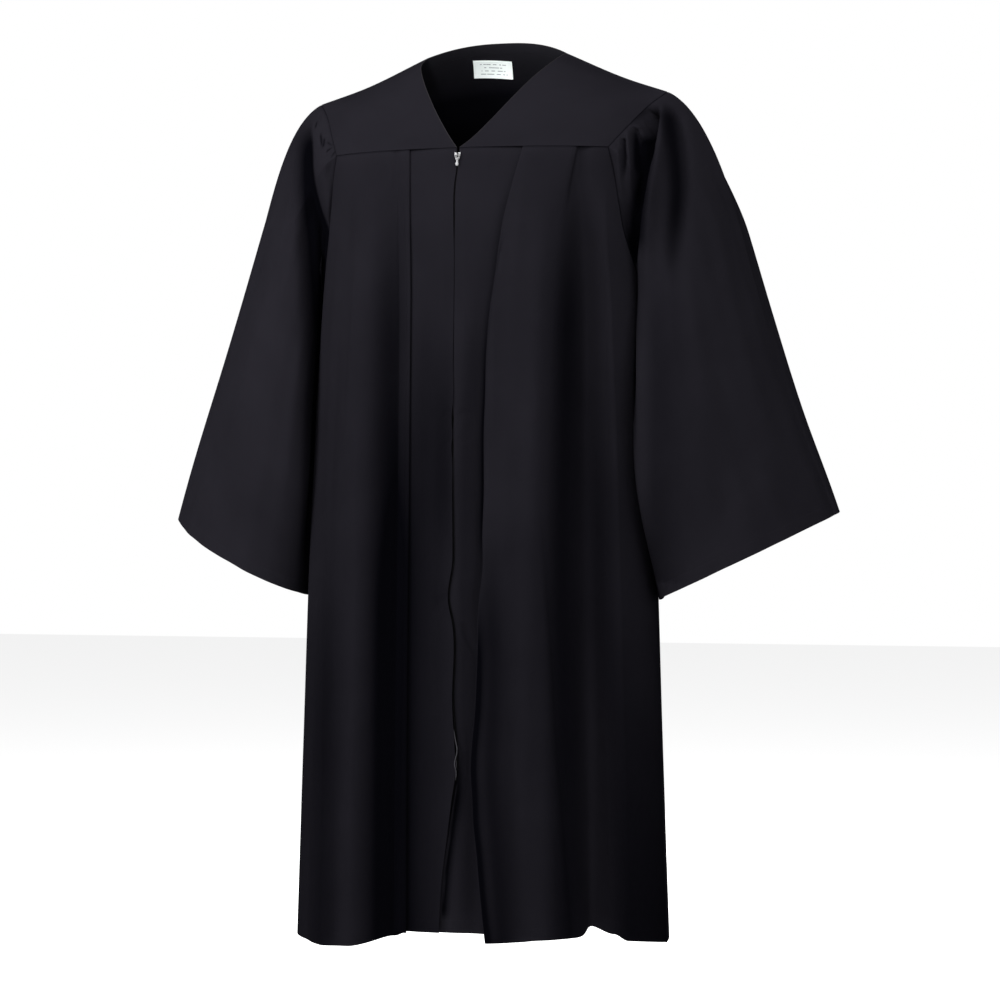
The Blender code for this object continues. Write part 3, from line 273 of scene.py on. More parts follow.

# Painted shade: hollows where the cloth looks darkest, laid out as the upright lines are, from
# nought to one.
PLEAT_OVERHANG = 0.0085      # how far a pleat hangs over the strip beside it, for each metre down
PLEAT_SHADE = tuple((place + PLEAT_OVERHANG * height, -height)
                    for height, place in LEFT_PLEAT_EDGE if height > -0.8)
LOW_PLEAT_SHADE = tuple((place, -height) for height, place in LEFT_PLEAT_EDGE if height < -0.72)
FRONT_PAINTED_SHADES = {
    "left": (
        Crease("even shade", ((0.12, 0.15), (0.12, 1.3)), 0.13, 0.3, 0.3, 0.02, 0.01),
        Crease("shade of the pleat", PLEAT_SHADE, 0.98, 0.0064, 0.004, 0.75, 0.25),
        Drop("deep low in the pleat", LOW_PLEAT_SHADE, 1.1, 0.0004, 0.0095, 1, 0.35, 0.01),
        Crease("soft shade beside the pleat", ((0.07, 0.2), (0.04, 0.33), (0.022, 0.5),
            (0.018, 0.7), (0.02, 0.9), (0.024, 1.3)), 0.4, 0.016, 0.022, 0.3, 0.1),
        Crease("shade along the pleat", ((0.062, 0.62), (0.062, 0.76), (0.066, 0.9), (0.064, 1.03),
            (0.07, 1.12), (0.082, 1.3)), 0.6, 0.016, 0.023, 0.35, 0.01),
        Crease("main hollow", ((0.15, 0.16), (0.157, 0.3), (0.16, 0.4), (0.162, 0.56),
            (0.162, 0.75), (0.165, 0.95), (0.17, 1.3)), 0.71, 0.028, 0.036, 0.22, 0.01),
        Crease("lower front", ((0.115, 0.55), (0.115, 1.3)), 0.22, 0.04, 0.03, 0.3, 0.01),
        Crease("second hollow", ((0.206, 0.3), (0.212, 0.5), (0.22, 0.62), (0.228, 0.8),
            (0.245, 1.0), (0.262, 1.3)), 0.5, 0.024, 0.03, 0.45, 0.01),
        Crease("low at the side", ((0.29, 0.72), (0.3, 1.0), (0.306, 1.3)), 0.62, 0.05, 0.08, 0.9,
            0.01),
        Crease("beside the sleeve", ((0.262, 0.25), (0.268, 0.33), (0.272, 0.45), (0.274, 0.6)),
            0.86, 0.012, 0.05, 0.25, 0.35),
        Drop("shade of the slit", ((0.006, 0.99), (0.0026, 1.07), (-0.0056, 1.12), (-0.0144, 1.19),
            (-0.019, 1.24)), 0.9, 0.0004, 0.01, 1, 0.35, 0.05),
    ),
    "right": (
        Crease("even shade", ((0.12, 0.15), (0.12, 1.3)), 0.12, 0.3, 0.3, 0.02, 0.01),
        Crease("main hollow", ((0.092, 0.16), (0.1, 0.3), (0.104, 0.45), (0.104, 0.7),
            (0.108, 0.95), (0.112, 1.3)), 0.6, 0.02, 0.02, 0.25, 0.01),
        Crease("low in the hollow", ((0.106, 0.6), (0.108, 0.9), (0.112, 1.3)), 0.25, 0.018, 0.022,
            0.3, 0.01),
        Crease("strip", ((0.04, 0.24), (0.044, 0.8), (0.046, 1.3)), 0.54, 0.052, 0.042, 0.33, 0.01),
        Crease("beside the pleat", ((0.08, 0.44), (0.08, 0.8), (0.078, 1.3)), 0.51, 0.023, 0.032,
            0.36, 0.01),
        Crease("side", ((0.2, 0.3), (0.2, 1.3)), 0.24, 0.06, 0.08, 0.35, 0.01),
        Crease("low at the side", ((0.19, 0.64), (0.205, 0.95), (0.215, 1.3)), 0.42, 0.05, 0.07,
            0.55, 0.01),
        Crease("shade beside the zip", ((0.012, 0.42), (0.014, 0.56), (0.012, 0.76)), 0.2, 0.012,
            0.016, 0.4, 0.4),
    ),
}

# Lines over a sleeve: across as seen level from a little to the wearer's left or, for the back,
# from behind, and down from the shoulder.
SLEEVE_VIEW = math.radians(18.0)
# Lines that a fold and its painted shade share: beside the right armhole seam, and the left big
# fold.
SEAM_FOLD = (
    (-0.2677, 0.0804), (-0.2685, 0.0994), (-0.2663, 0.1213), (-0.2619, 0.174), (-0.256, 0.2047),
    (-0.2487, 0.231), (-0.2414, 0.2501), (-0.2326, 0.2998), (-0.2268, 0.3847), (-0.2238, 0.5017),
)
BIG_FOLD = (
    (0.2316, 0.1227), (0.2273, 0.1425), (0.2245, 0.158), (0.2189, 0.1764), (0.2118, 0.2103),
    (0.2062, 0.2456), (0.2019, 0.295), (0.1991, 0.3515), (0.1984, 0.4221),
)
SLEEVE_FRONT = {
    "right": (
        Drop("fold beside the seam", (*SEAM_FOLD, (-0.2238, 0.6187)), -0.022, 0.005, 0.024, -1,
            0.1, 0.45),
        Crease("wedge that the fold leaves", ((-0.2575, 0.0979), (-0.2502, 0.136),
            (-0.2472, 0.1798), (-0.2429, 0.2267), (-0.237, 0.2676)), 0.004, 0.008, 0.008, 0.25,
            0.3),
        Crease("valley beside the body", ((-0.2765, 0.1213), (-0.278, 0.2091), (-0.2736, 0.2676),
            (-0.2677, 0.3335), (-0.2619, 0.4139), (-0.259, 0.531), (-0.2604, 0.648)), -0.014,
            0.015, 0.014, 0.3, 0.45),
        Crease("upper gather", ((-0.2582, 0.0774), (-0.2619, 0.1038)), -0.003, 0.003, 0.003, 0.4,
            0.5),
        Crease("long gather", ((-0.2575, 0.0994), (-0.2563, 0.1184), (-0.2575, 0.1418)), -0.004,
            0.0034, 0.0036, 0.4, 0.5),
        Crease("short gather", ((-0.2458, 0.1125), (-0.2494, 0.1257), (-0.2531, 0.1403)), -0.003,
            0.003, 0.0032, 0.4, 0.5),
        Crease("corner gather", ((-0.2341, 0.1272), (-0.2407, 0.1389), (-0.2458, 0.1506)), -0.003,
            0.003, 0.0032, 0.4, 0.5),
        Crease("thin ridge down the sleeve", ((-0.2926, 0.1096), (-0.2955, 0.1316),
            (-0.2999, 0.1828), (-0.3072, 0.234), (-0.316, 0.272), (-0.3219, 0.3115)), 0.0034,
            0.007, 0.003, 0.25, 0.4),
        Crease("second thin ridge", ((-0.2853, 0.136), (-0.2889, 0.1798), (-0.2926, 0.231)),
            0.0016, 0.004, 0.0024, 0.3, 0.5),
        Crease("hollow outside it", ((-0.3116, 0.1506), (-0.3248, 0.2237), (-0.3423, 0.3261),
            (-0.354, 0.4285)), -0.003, 0.012, 0.016, 0.4, 0.5),
        Crease("long roll", ((-0.3423, 0.3993), (-0.357, 0.531), (-0.3658, 0.6919)), 0.005, 0.026,
            0.026, 0.4, 0.2),
    ),
    "left": (
        Drop("edge of the big fold", ((0.2386, 0.0818), (0.2344, 0.1001), *BIG_FOLD,
            (0.1984, 0.5068), (0.1991, 0.6056)), -0.028, 0.0045, 0.026, -1, 0.05, 0.4),
        Crease("ridge behind the edge", ((0.24, 0.0903), (0.2358, 0.1326), (0.2302, 0.1679),
            (0.2231, 0.2032), (0.2174, 0.2456), (0.2132, 0.3091), (0.2104, 0.3938)), 0.006, 0.006,
            0.01, 0.1, 0.5),
        Crease("soft valley outside", ((0.2443, 0.0747), (0.2499, 0.1086), (0.2549, 0.1538),
            (0.257, 0.2103), (0.2542, 0.2738), (0.2499, 0.3515)), -0.015, 0.0085, 0.015, 0.15, 0.6),
        Drop("triangle's edge", ((0.2033, 0.1044), (0.209, 0.1171), (0.216, 0.1312),
            (0.2217, 0.1439)), -0.01, 0.0028, 0.006, 1, 0.25, 0.35),
        Crease("triangle's face", ((0.1991, 0.1143), (0.2047, 0.1284), (0.2104, 0.1482)), 0.006,
            0.008, 0.008, 0.15, 0.5),
        Crease("curl at the shoulder", ((0.2146, 0.0917), (0.2217, 0.0973), (0.2259, 0.1058),
            (0.2266, 0.1171)), -0.004, 0.003, 0.0028, 0.25, 0.45),
        Crease("first gather", ((0.18, 0.1354), (0.1796, 0.1609), (0.1786, 0.2018)), -0.007,
            0.0028, 0.0032, 0.08, 0.6),
        Crease("lit ridge", ((0.1871, 0.1227), (0.1878, 0.1538), (0.1885, 0.1962),
            (0.1878, 0.2385)), 0.007, 0.0036, 0.0036, 0.08, 0.5),
        Crease("small fold at the seam", ((0.1716, 0.1496), (0.1737, 0.1849), (0.1779, 0.2315)),
            0.004, 0.0036, 0.003, 0.1, 0.5),
        Crease("dark gather", ((0.1949, 0.1143), (0.197, 0.1397), (0.1977, 0.182),
            (0.197, 0.2456)), -0.01, 0.0036, 0.008, 0.1, 0.4),
        Crease("long roll", ((0.3474, 0.3374), (0.3728, 0.4786), (0.3954, 0.6762)), 0.005, 0.026,
            0.026, 0.4, 0.2),
        Crease("long hollow", ((0.288, 0.295), (0.305, 0.4786), (0.3219, 0.7327)), -0.004, 0.02,
            0.026, 0.4, 0.2),
    ),
}
SLEEVE_BACK = {
    "right": (
        Crease("first gather behind", ((0.256, 0.073), (0.27, 0.125)), -0.0048, 0.0045, 0.005,
            0.05, 0.6),
        Crease("second gather behind", ((0.243, 0.094), (0.255, 0.15), (0.26, 0.2)), -0.006, 0.005,
            0.006, 0.05, 0.6),
        Crease("third gather behind", ((0.23, 0.114), (0.238, 0.16)), -0.0046, 0.0042, 0.0042,
            0.05, 0.6),
        Crease("fourth gather behind", ((0.218, 0.134), (0.228, 0.2)), -0.0054, 0.0046, 0.005,
            0.05, 0.6),
        Crease("long gather behind", ((0.21, 0.15), (0.222, 0.215), (0.232, 0.275)), -0.006, 0.005,
            0.006, 0.05, 0.6),
        Crease("back valley", ((0.252, 0.15), (0.272, 0.25), (0.29, 0.38), (0.305, 0.5)), -0.012,
            0.02, 0.024, 0.3, 0.5),
        Crease("back ridge", ((0.232, 0.18), (0.246, 0.28), (0.262, 0.42)), 0.006, 0.012, 0.012,
            0.3, 0.5),
    ),
    "left": (
        Crease("first gather behind", ((0.251, 0.081), (0.262, 0.13)), -0.005, 0.0046, 0.0052,
            0.05, 0.6),
        Crease("second gather behind", ((0.238, 0.101), (0.247, 0.15)), -0.0046, 0.0042, 0.0046,
            0.05, 0.6),
        Crease("third gather behind", ((0.226, 0.121), (0.238, 0.185), (0.246, 0.24)), -0.0062,
            0.005, 0.006, 0.05, 0.6),
        Crease("fourth gather behind", ((0.215, 0.14), (0.222, 0.185)), -0.0046, 0.0042, 0.0046,
            0.05, 0.6),
        Crease("long gather behind", ((0.21, 0.156), (0.22, 0.225), (0.228, 0.29)), -0.0058, 0.005,
            0.0056, 0.05, 0.6),
        Crease("back valley", ((0.262, 0.13), (0.28, 0.24), (0.298, 0.37), (0.318, 0.52)), -0.012,
            0.022, 0.02, 0.3, 0.5),
        Crease("back ridge", ((0.24, 0.2), (0.256, 0.3), (0.276, 0.44)), 0.006, 0.012, 0.012, 0.3,
            0.5),
    ),
}
# Painted shade in the hollows of the sleeves, laid out as their folds are, from nought to one.
SLEEVE_PAINTED_SHADES = {
    "right": (
        Drop("shade beside the seam fold", SEAM_FOLD, 0.9, 0.003, 0.026, -1, 0.12, 0.5),
        Crease("shade down the valley", ((-0.275, 0.0847), (-0.2765, 0.136), (-0.2736, 0.2267),
            (-0.2663, 0.3261), (-0.2619, 0.4139), (-0.2604, 0.5456)), 0.45, 0.015, 0.012, 0.15,
            0.55),
        Crease("shade beside the body", ((-0.264, 0.15), (-0.2619, 0.2164), (-0.256, 0.2823),
            (-0.2531, 0.3993), (-0.256, 0.5456)), 0.9, 0.018, 0.02, 0.35, 0.5),
        Crease("shade of a gather", ((-0.2569, 0.1087), (-0.2546, 0.1243), (-0.2531, 0.1355)),
            0.95, 0.0016, 0.0012, 0.3, 0.4),
        Crease("shade of a gather", ((-0.2505, 0.117), (-0.2505, 0.1284), (-0.2524, 0.1382)), 0.95,
            0.0015, 0.0011, 0.3, 0.4),
        Crease("shade of a gather", ((-0.2462, 0.1257), (-0.2407, 0.1312), (-0.2364, 0.1341)), 0.9,
            0.001, 0.001, 0.3, 0.4),
        Crease("shade of a gather", ((-0.2364, 0.1355), (-0.2448, 0.1412), (-0.2462, 0.1448)), 0.9,
            0.001, 0.001, 0.3, 0.4),
        Crease("shade of a gather", ((-0.2633, 0.09), (-0.2655, 0.104)), 0.85, 0.0012, 0.0012, 0.3,
            0.4),
        Crease("shade of a gather", ((-0.2282, 0.1382), (-0.235, 0.1467), (-0.2392, 0.1565)), 0.7,
            0.0012, 0.001, 0.3, 0.5),
    ),
    "left": (
        Drop("shade under the big fold", ((0.2358, 0.0945), *BIG_FOLD, (0.1984, 0.535),
            (0.2005, 0.6339)), 0.92, 0.003, 0.022, -1, 0.1, 0.35),
        Crease("shade in the recess", ((0.2047, 0.1256), (0.2076, 0.1538), (0.2047, 0.1962),
            (0.1991, 0.2456), (0.1949, 0.3119)), 0.95, 0.011, 0.016, 0.14, 0.2),
        Crease("shade of the dark gather", ((0.1949, 0.1199), (0.1942, 0.1467), (0.1934, 0.1933)),
            0.7, 0.0022, 0.0036, 0.15, 0.3),
        Crease("shade of the soft valley", ((0.24, 0.0776), (0.245, 0.1143), (0.25, 0.1538),
            (0.253, 0.2103), (0.249, 0.2738), (0.245, 0.36)), 0.76, 0.012, 0.0135, 0.1, 0.45),
        Crease("shade of the lower fold", ((0.226, 0.26), (0.225, 0.45), (0.223, 0.64),
            (0.221, 0.76)), 0.42, 0.016, 0.038, 0.35, 0.01),
        Crease("even shade", ((0.3, 0.05), (0.3, 0.8)), 0.1, 0.3, 0.3, 0.02, 0.01),
        Crease("shade of the first gather", ((0.18, 0.1369), (0.1793, 0.1609), (0.1779, 0.2018)),
            0.6, 0.0022, 0.0028, 0.2, 0.45),
    ),
}
SLEEVE_PUSH = {"right": (0.309, -0.951, 0.0), "left": (0.0, -1.0, 0.0)}
CUFF_TILT = {"right": 0.0, "left": 0.08}     # how much lower a cuff hangs in front than behind

# Slight ripples across the hanging cloth: length from one to the next, lean as they run
# down, place of the first, and height.
Ripple = namedtuple("Ripple", "apart lean first height")
RIPPLES = table(Ripple,
    (0.031, 0.02, 0.3, 0.0005), (0.053, -0.035, 1.7, 0.0009), (0.087, 0.05, 4.1, 0.0012))
SLEEVE_RIPPLES = 0.6     # share of the ripples that a sleeve has
PLACE = 0.0222           # metres from one place to the next along the armhole
RIPPLE_START = 0.25      # how far below the yoke the ripples are at their full height
RIPPLE_SWAY = 0.8        # how much the ripples wander as they run down
RIPPLE_SWAY_RATE = 3.1
LEAN_STEPS = 200         # steps down a crease over which its lean is measured


# ---- curves --------------------------------------------------------------------------------
def curve(start, end, leave, arrive, t):
    """Points a part of the way, t, along a smooth curve with set ends and directions."""
    return (start * (1 + 2 * t) * (1 - t) ** 2 + leave * t * (1 - t) ** 2
            + end * t * t * (3 - 2 * t) + arrive * t * t * (t - 1))


def follow(places, values, wanted):
    """Smooth curve through the values at their places, read at the wanted places."""
    places = np.asarray(places, float)
    values = np.asarray(values, float)
    wanted = np.clip(np.asarray(wanted, float), places.min(), places.max())
    if places[0] > places[-1]:
        places = places[::-1]
        values = values[::-1]
    spread = (...,) + (None,) * (values.ndim - 1)
    runs = np.diff(places)
    steps = np.diff(values, axis=0) / runs[spread]
    slopes = np.empty_like(values)
    slopes[0] = steps[0]
    slopes[-1] = steps[-1]
    for i in range(1, len(places) - 1):
        share = runs[i - 1] / (runs[i - 1] + runs[i])
        slopes[i] = steps[i - 1] * (1 - share) + steps[i] * share
    i = np.clip(np.searchsorted(places, wanted, side="right") - 1, 0, len(runs) - 1)
    run = runs[i][spread]
    t = (wanted - places[i])[spread] / run
    return curve(values[i], values[i + 1], slopes[i] * run, slopes[i + 1] * run, t)


def eased(part):
    """A share of the way that starts and ends gently."""
    return part * part * (3 - 2 * part)


def unit(vectors):
    """The vectors, each of length one."""
    vectors = np.asarray(vectors, float)
    return vectors / np.linalg.norm(vectors, axis=-1, keepdims=True)


def thread(before, start, end, after, part):
    """Points a part of the way from start to end, on a smooth curve through all four."""
    def gap(one, other):
        return np.maximum(np.linalg.norm(other - one, axis=-1, keepdims=True), 1e-9) ** 0.5
    first = gap(before, start)
    middle = gap(start, end)
    last = gap(end, after)
    leave = (start - before) / first - (end - before) / (first + middle) + (end - start) / middle
    arrive = (end - start) / middle - (after - start) / (middle + last) + (after - end) / last
    return curve(start, end, leave * middle, arrive * middle, part)


def column(rows, field):
    """One column of a table of named rows."""
    return [getattr(row, field) for row in rows]


def at_level(values, height):
    """Values set out at LEVELS, read at one height."""
    return float(follow(LEVELS, values, height))


def lengths_along(points):
    """Distance from the first row of points to each row, along each column."""
    steps = np.linalg.norm(np.diff(points, axis=0), axis=-1)
    return np.concatenate((np.zeros((1, *steps.shape[1:])), np.cumsum(steps, axis=0)))


def on_line(wanted, places, points):
    """Points on the straight lines between points, read at the wanted places."""
    return np.stack([np.interp(wanted, places, points[:, axis]) for axis in range(3)], axis=-1)


# ---- form of the gown below the yokes ------------------------------------------------------
def body_size(height, size):
    """One size of the body section at each height."""
    return follow(BODY_HEIGHTS, column(BODY, size), height)


def body_depth(height, at_front):
    """Depth of the body section, of its front half or of its back half."""
    return np.where(at_front, body_size(height, "front_depth"), body_size(height, "back_depth"))


def skin(side, turn, height, out=0.0):
    """Points on the form at turns in degrees from the front, moved out from its section."""
    turn, height, out = np.broadcast_arrays(turn, height, out)
    depth = body_depth(height, abs(turn) < 90)
    width = body_size(height, "half_width")
    angle = np.radians(turn)
    point = np.stack((side * width * np.sin(angle),
                      body_size(height, "centre_y") - depth * np.cos(angle), height), axis=-1)
    return point + skin_normal(side, turn, height) * out[..., None]


def skin_normal(side, turn, height):
    """Level direction straight out from the form."""
    turn, height = np.broadcast_arrays(turn, height)
    depth = body_depth(height, abs(turn) < 90)
    angle = np.radians(turn)
    return unit(np.stack((side * np.sin(angle) / body_size(height, "half_width"),
                          -np.cos(angle) / depth, np.zeros_like(angle)), axis=-1))


QUARTER = np.linspace(0.0, math.pi / 2, 181)
TABLE_FOOT = -1.3      # a little below the lowest hem
TABLE_HEIGHTS = np.linspace(YOKE_SEAM_Z, TABLE_FOOT, 116)
TABLE_STEP = TABLE_HEIGHTS[0] - TABLE_HEIGHTS[1]


def quarter_lengths(height):
    """Distance round the front section from its middle to each angle of a quarter."""
    middles = (QUARTER[1:] + QUARTER[:-1]) / 2
    steps = np.hypot(body_size(height, "half_width") * np.cos(middles),
                     body_size(height, "front_depth") * np.sin(middles)) * np.diff(QUARTER)
    return np.concatenate(([0.0], np.cumsum(steps)))


LENGTH_TABLE = np.array([quarter_lengths(height) for height in TABLE_HEIGHTS])


def distance_at(turn, height):
    """Distance round the front section from its middle to a turn."""
    return float(np.interp(math.radians(turn), QUARTER, quarter_lengths(height)))


def turn_at(distance, height):
    """Turns reached by going distances round the front section from its middle."""
    distance, height = np.broadcast_arrays(distance, height)
    spot = (TABLE_HEIGHTS[0] - height) / TABLE_STEP
    below = np.clip(np.floor(spot).astype(int), 0, len(TABLE_HEIGHTS) - 2)
    share = spot - below
    turns = np.empty(distance.shape)
    for row in np.unique(below):
        here = below == row
        upper = np.interp(abs(distance[here]), LENGTH_TABLE[row], QUARTER)
        lower = np.interp(abs(distance[here]), LENGTH_TABLE[row + 1], QUARTER)
        turns[here] = upper * (1 - share[here]) + lower * share[here]
    return np.copysign(np.degrees(turns), distance)


def at_heights(table, height):
    """Rows of a table kept at TABLE_HEIGHTS, read at other heights."""
    spot = np.clip((TABLE_HEIGHTS[0] - height) / TABLE_STEP, 0, len(TABLE_HEIGHTS) - 1.001)
    below = np.floor(spot).astype(int)
    share = (spot - below)[:, None]
    return table[below] * (1 - share) + table[below + 1] * share


# ---- fronts --------------------------------------------------------------------------------
def front_edge(name, height):
    """Distance round from the middle to the edge of a front."""
    edge = follow(column(OPENING, "height"), column(OPENING, name), height)
    return edge if name == "left" else -edge


def front_knots(name, height):
    """Section of one front from its zip edge to its side seam, as distance round and out."""
    pleat = PLEATS[name]
    tip = float(follow(*zip(*pleat.edge), height))
    reach, top, strip = (at_level(row, height) for row in (pleat.reach, pleat.proud, pleat.strip))
    root = tip + reach
    bottom = min(strip, top - 2 * LAYER)
    at_zip = bottom * min(1.0, max(0.0, at_level(PRESSED, height)))
    start = float(front_edge(name, height))
    knots = [
        (start, at_zip),
        (start + TAPE_WIDTH + BESIDE_TAPE, at_zip),
        (tip - STRIP_RAMP, (at_zip + bottom) / 2),
        (root - FOLD_ROUND, bottom),
        (root, bottom + LAYER / 2),
        (root - FOLD_ROUND, bottom + LAYER),
        (tip + FOLD_ROUND, top - LAYER),
        (tip, top - LAYER / 2),
        (tip + FOLD_ROUND, top),
    ]
    knots += [(at_level(fold.round, height), at_level(fold.out, height))
              for fold in FRONT_FOLDS[name]]
    knots += [(distance_at(turn, height), 0.0) for turn in (DOWN[0].turn, 90.0)]
    return np.array(knots)


def front_hems(name):
    """Height of the hem at each knot of a front."""
    pleat = PLEATS[name]
    between = (pleat.hem_strip + pleat.hem_edge) / 2
    hems = [pleat.hem_strip] * 4 + [between] * 2 + [pleat.hem_edge] * 3
    hems += [fold.hem for fold in FRONT_FOLDS[name]]
    hems.append((hems[-1] + SIDE_SEAM_HEM[name]) / 2)
    hems.append(SIDE_SEAM_HEM[name])
    return np.array(hems)


PANEL_TOP = YOKE_SEAM_Z - HALF_GAP
CROWDING = 0.9           # how much closer the rows are beside the seam
CROWDING_POWER = 24
FRONT_SEGMENTS = (6, 12, 30, 4, 4, 8, 4, 4, 34, 18, 14, 12)     # columns in each stretch
SIDE_STEPS_PER_PLACE = 3
SIDE_CALM = 0.03         # how far from the side seam the ripples reach their height
ZIP_CALM = 0.02          # how far from the zip tape they do
PANEL_SEAM_SHADE = 0.7   # share of a seam's painted shade beside the yoke seam
FRONT_ROWS = 210
BACK_SEGMENT = 12        # columns in each stretch of the back
BACK_ROWS = 170


def row_shares(count):
    """Shares of the way down a panel, closer together beside the seam at its top."""
    shares = np.linspace(0.0, 1.0, count)
    return shares - CROWDING * shares * (1 - shares) ** CROWDING_POWER


def panel_columns(table, hems, stretches, shares):
    """Columns of a hanging panel, each as distances round, how far out, and heights."""
    for first, parts in enumerate(stretches):
        for part in parts:
            hem = hems[first] + (hems[first + 1] - hems[first]) * eased(part)
            height = PANEL_TOP + (hem - PANEL_TOP) * shares
            knots = [at_heights(table[:, i], height) for i in range(max(first - 1, 0), first + 3)]
            if first == 0:
                knots.insert(0, 2 * knots[0] - knots[1])
            yield (*thread(*knots, part).T, height)


def seam_dip(distance):
    """How far a sewn edge lies in from the form, at a distance from the edge."""
    return -SEAM_DIP * np.exp(-(distance / SEAM_DIP_REACH) ** 2)


def fold_in(across, down, creases):
    """How far creases push the cloth out at places across it and down it."""
    out = np.zeros(np.shape(across))
    for crease in creases:
        line = np.array(crease.line)
        start, end = line[0, 1], line[-1, 1]
        middle = follow(line[:, 1], line[:, 0], down)
        step = (end - start) / LEAN_STEPS
        lean = (follow(line[:, 1], line[:, 0], down + step)
                - follow(line[:, 1], line[:, 0], down - step)) / (2 * step)
        aside = (across - middle) / np.hypot(1.0, lean)
        part = np.clip((down - start) / (end - start), 0.0, 1.0)
        level = (eased(np.clip(part / crease.rise, 0.0, 1.0))
                 * eased(np.clip((1.0 - part) / crease.fade, 0.0, 1.0)))
        if isinstance(crease, Drop):
            past = np.maximum(aside * crease.side, 0.0)
            shape = (1.0 - np.exp(-(past / crease.edge) ** 2)) * np.exp(-(past / crease.reach) ** 2)
        else:
            shape = np.exp(-(aside / np.where(aside > 0, crease.right, crease.left)) ** 2)
        out += crease.out * level * shape
    return out


def pushed_out(name, distance, height):
    """How far the creases and puckers of a front push its cloth out."""
    return (fold_in(distance, -height, FRONT_CREASES[name])
            + fold_in(-height, distance, FRONT_PUCKERS[name]))


def rippled(distance, down):
    """Slight ripples at distances round and down the hanging cloth."""
    height = np.zeros(np.shape(down))
    for ripple in RIPPLES:
        turns = (distance + ripple.lean * down) / ripple.apart
        sway = RIPPLE_SWAY * np.sin(RIPPLE_SWAY_RATE * down + ripple.first)
        height += ripple.height * np.sin(2 * np.pi * turns + ripple.first + sway)
    return height * eased(np.clip(down / RIPPLE_START, 0.0, 1.0))


def front_panel(name, side):
    """Grid over one front, rows down and columns from the zip to the side seam, and its painted
    shade.
    """
    table = np.array([front_knots(name, height) for height in TABLE_HEIGHTS])
    hems = front_hems(name)
    shares = row_shares(FRONT_ROWS)
    stretches = [np.arange(count) / count for count in FRONT_SEGMENTS]
    columns = zip(*panel_columns(table, hems, stretches, shares))
    rounds, outs, heights = (np.array(lines).T for lines in columns)
    outs += pushed_out(name, rounds, heights)
    free = (np.clip((rounds[:, -1:] - rounds) / SIDE_CALM, 0, 1)
            * np.clip((rounds - rounds[:, :1] - TAPE_WIDTH - BESIDE_TAPE) / ZIP_CALM, 0, 1))
    outs += rippled(rounds, PANEL_TOP - heights) * free
    outs += seam_dip(PANEL_TOP - heights)
    grid = skin(side, turn_at(rounds, heights), heights, outs)
    # Painted shade: the cloth is coloured darker along its folds and in the groove of the yoke
    # seam.
    groove = (PANEL_SEAM_SHADE * SEAM_SHADE
              * np.exp(-((PANEL_TOP - heights) / SEAM_SHADE_REACH) ** 2))
    hollow = np.maximum(fold_in(rounds, -heights, FRONT_PAINTED_SHADES[name]), groove)
    places = np.arange(YOKE_CORNER, UNDERARM + 0.01, 1 / SIDE_STEPS_PER_PLACE)
    side_grid = side_columns(side, places, lambda height: DOWN[0].turn, hems[-2], hems[-1], shares)
    grid = np.concatenate((grid, side_grid), axis=1)
    grid[:, -1, 1] -= HALF_GAP
    side_painted_shade = np.repeat(hollow[:, -1:], side_grid.shape[1], axis=1)
    return grid, np.concatenate((hollow, side_painted_shade), axis=1)


def side_columns(side, places, corner_turn, corner_hem, seam_hem, shares):
    """Lines down a panel that start at the armhole."""
    columns = []
    for place in places:
        turn, height = armhole_on_form(place)
        part = (turn - 90.0) / (corner_turn(height) - 90.0)
        hem = seam_hem + (corner_hem - seam_hem) * part
        start = armhole_edge(side, place, 1)
        levels = start[2] + (hem - start[2]) * shares
        turns = 90.0 + (corner_turn(levels) - 90.0) * part
        column = skin(side, turns, levels, seam_dip(start[2] - levels))
        column[0] = start + armhole_normal(side, place) * seam_dip(0.0)
        columns.append(column)
    return np.array(columns).transpose(1, 0, 2)


# ---- back ----------------------------------------------------------------------------------
def back_corner_turn(height):
    """Turn of the line that runs down the back from the corner of its yoke."""
    return follow(LEVELS, BACK_CORNER_TURNS, height)


def back_knots(height):
    """Section of half the back, from its corner to just past the middle, as distance and out."""
    knots = [(float(back_corner_turn(height)) * METRES_PER_DEGREE, 0.0)]
    knots += [(at_level(flute.turn, height) * METRES_PER_DEGREE, at_level(flute.out, height))
              for flute in reversed(BACK_FLUTES)]
    knots.append((2 * knots[-1][0] - knots[-2][0], knots[-2][1]))
    return np.array(knots)


def back_half(name, side, shares):
    """Columns over half the back, from its side seam to its middle."""
    table = np.array([back_knots(height) for height in TABLE_HEIGHTS])
    seam_hem = SIDE_SEAM_HEM[name]
    hems = [(BACK_FLUTES[-1].hem + seam_hem) / 2] + [flute.hem for flute in reversed(BACK_FLUTES)]
    places = np.arange(UNDERARM, BACK_CORNER - 0.01, 1 / SIDE_STEPS_PER_PLACE)
    grid = side_columns(side, places, back_corner_turn, hems[0], seam_hem, shares)
    stretches = [np.arange(BACK_SEGMENT) / BACK_SEGMENT] * len(BACK_FLUTES)
    stretches[-1] = np.append(stretches[-1], 1.0)
    columns = [skin(side, distance / METRES_PER_DEGREE, height, out + seam_dip(PANEL_TOP - height))
               for distance, out, height in panel_columns(table, hems, stretches, shares)]
    return np.concatenate((grid, np.array(columns).transpose(1, 0, 2)), axis=1)


PAINTED_SHADE_DEPTH = 0.026     # how far in a fold of the back or of a sleeve the painted shade is at its darkest


def back_panel():
    """Grid over the back, from the left side seam round to the right one."""
    shares = row_shares(BACK_ROWS)
    left = back_half("left", 1, shares)
    right = back_half("right", -1, shares)
    grid = np.concatenate((left, right[:, -2::-1]), axis=1)
    grid[:, 0, 1] += HALF_GAP
    grid[:, -1, 1] += HALF_GAP
    return grid


# ---- armhole -------------------------------------------------------------------------------
def armhole_on_form(place):
    """Turn and height of a place on the armhole below the yokes."""
    places = column(DOWN, "place")
    return [float(follow(places, column(DOWN, field), place)) for field in ("turn", "height")]


